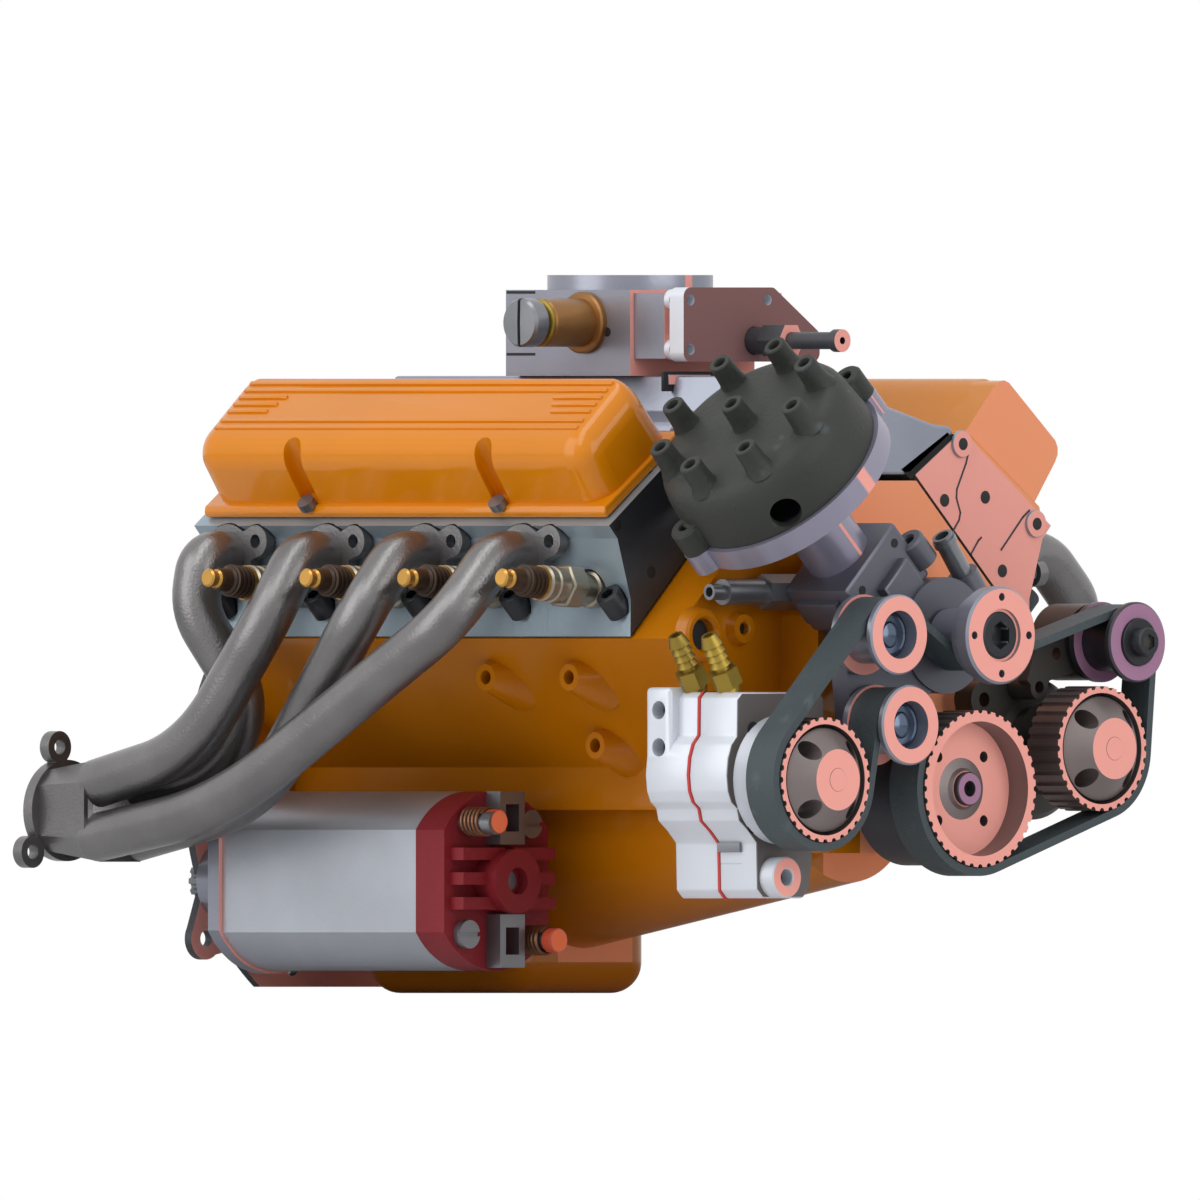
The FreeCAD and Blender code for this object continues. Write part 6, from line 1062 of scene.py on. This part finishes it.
class EngineSizes(PropertyGroup):
    """Sizes and colours of the engine's dressing."""
    paint_colour: FloatVectorProperty(name="Paint", description="Orange paint of the block and covers",
                                      subtype="COLOR_GAMMA", size=3, min=0, max=1, default=(0.86, 0.51, 0.0))
    head_colour: FloatVectorProperty(name="Heads", description="Bare casting of the cylinder heads",
                                     subtype="COLOR_GAMMA", size=3, min=0, max=1, default=(0.6, 0.66, 0.7))
    floor_gap: FloatProperty(name="Floor gap", description="Room between the engine and the floor",
                             subtype="DISTANCE", unit="LENGTH", default=0.0)
    view_width: FloatProperty(name="View width", description="Width of the camera's view",
                              subtype="DISTANCE", unit="LENGTH", default=0.19386)


class ENGINE_OT_finishes(Operator):
    """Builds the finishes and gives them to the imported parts"""
    bl_idname = "engine.finishes"
    bl_label = "Finishes"

    def execute(self, context):
        made = make_finishes(context.scene.engine_sizes)
        for name, part in frame["nodes"].items():
            if name not in NODE_FINISH:
                raise RuntimeError("no finish for %s" % name)
            look = made[NODE_LOOKS.get(name, NODE_FINISH[name])]
            for slot in part.material_slots:
                slot.material = look
            if not part.material_slots:
                part.data.materials.append(look)
        return {"FINISHED"}


class ENGINE_OT_stage(Operator):
    """Lays the floor, the soft lights and the camera"""
    bl_idname = "engine.stage"
    bl_label = "Stage"

    def execute(self, context):
        scene = context.scene
        low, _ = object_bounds()
        level = low[2] - scene.engine_sizes.floor_gap - 0.0002
        bpy.ops.mesh.primitive_plane_add(size=4.0, location=(0, 0, level))
        floor = context.active_object
        floor.name = "floor"
        floor.data.materials.append(floor_finish())
        floor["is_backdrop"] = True
        world = bpy.data.worlds.new("pale_room")
        scene.world = world
        world.use_nodes = True
        tree = world.node_tree
        tree.nodes.clear()
        link = tree.links.new
        seen = node(tree, "ShaderNodeLightPath")
        most = node(tree, "ShaderNodeMath", operation="MAXIMUM")
        also = node(tree, "ShaderNodeMath", operation="MAXIMUM")
        room = node(tree, "ShaderNodeBackground", {"Color": (0.92, 0.95, 1.0, 1), "Strength": 0.36})
        white = node(tree, "ShaderNodeBackground", {"Color": (1, 1, 1, 1), "Strength": 1.0})
        either = node(tree, "ShaderNodeMixShader")
        out = node(tree, "ShaderNodeOutputWorld")
        link(seen.outputs["Is Camera Ray"], most.inputs[0])
        link(seen.outputs["Is Transmission Ray"], most.inputs[1])
        link(most.outputs[0], also.inputs[0])
        link(seen.outputs["Is Glossy Ray"], also.inputs[1])
        link(also.outputs[0], either.inputs["Fac"])
        link(room.outputs[0], either.inputs[1])
        link(white.outputs[0], either.inputs[2])
        link(either.outputs[0], out.inputs["Surface"])
        middle = Vector((0.0268, -0.0268, 0.0305))
        lamps = (("over", (-0.25, -0.15, 0.62), (0.2, 1.0), 1.7),
                 ("left", (-0.62, 0.12, 0.28), (0.5, 0.7), 2.0),
                 ("front", (0.02, -0.75, 0.22), (0.5, 0.6), 1.6))
        for name, place, size, power in lamps:
            data = bpy.data.lights.new(name, "AREA")
            data.shape = "RECTANGLE"
            data.size, data.size_y = size
            data.energy = power
            lamp = bpy.data.objects.new(name, data)
            lamp.location = place
            lamp.rotation_euler = (middle - Vector(place)).to_track_quat("-Z", "Y").to_euler()
            scene.collection.objects.link(lamp)
        eye = bpy.data.cameras.new("photo_view")
        eye.type = "ORTHO"
        eye.ortho_scale = scene.engine_sizes.view_width
        eye.clip_end = 10
        camera = bpy.data.objects.new("photo_view", eye)
        look = Vector((HALF, HALF, 0))
        camera.location = middle - look * 1.2
        camera.rotation_euler = look.to_track_quat("-Z", "Y").to_euler()
        scene.collection.objects.link(camera)
        scene.camera = camera
        scene.view_settings.view_transform = "Standard"
        return {"FINISHED"}


def floor_finish():
    """A pale floor that looks white to the camera and keeps the engine's shadow."""
    material = bpy.data.materials.new("pale_floor")
    material.use_nodes = True
    tree = material.node_tree
    shader = tree.nodes["Principled BSDF"]
    fill(shader, {"Roughness": 0.8, "Specular IOR Level": 0.1})
    grains = use_group(tree, "surface_grain", grain_group, {"Tone spread": 0.01})
    tree.links.new(toned(tree, grains, (0.9, 0.9, 0.9, 1)), shader.inputs["Base Color"])
    return material


class ENGINE_PT_panel(Panel):
    """Lists the engine's operators"""
    bl_label = "Engine"
    bl_idname = "ENGINE_PT_panel"
    bl_space_type = "VIEW_3D"
    bl_region_type = "UI"
    bl_category = "Engine"

    def draw(self, context):
        column = self.layout.column()
        for label in ("paint_colour", "head_colour", "floor_gap", "view_width"):
            column.prop(context.scene.engine_sizes, label)
        for maker in OPERATORS:
            column.operator(maker.bl_idname)


OPERATORS = (ENGINE_OT_finishes, ENGINE_OT_valve_covers, ENGINE_OT_distributor_cap, ENGINE_OT_spark_plugs,
             ENGINE_OT_head_bolts, ENGINE_OT_head_fronts, ENGINE_OT_idler_bearings, ENGINE_OT_hub_screws,
             ENGINE_OT_oil_pump, ENGINE_OT_starter_details, ENGINE_OT_throttle_details,
             ENGINE_OT_distributor_clamp, ENGINE_OT_block_bosses,
             ENGINE_OT_intake, ENGINE_OT_crank_nose, ENGINE_OT_stage)
CLASSES = (EngineSizes, *OPERATORS, ENGINE_PT_panel)


def register():
    for cls in CLASSES:
        bpy.utils.register_class(cls)
    bpy.types.Scene.engine_sizes = PointerProperty(type=EngineSizes)


def unregister():
    del bpy.types.Scene.engine_sizes
    for cls in reversed(CLASSES):
        bpy.utils.unregister_class(cls)


def main():
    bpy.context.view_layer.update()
    register()
    for maker in OPERATORS:
        group, name = maker.bl_idname.split(".")
        if getattr(getattr(bpy.ops, group), name)() != {"FINISHED"}:
            raise RuntimeError("%s didn't finish" % maker.bl_idname)


if __name__ == "__main__":
    main()
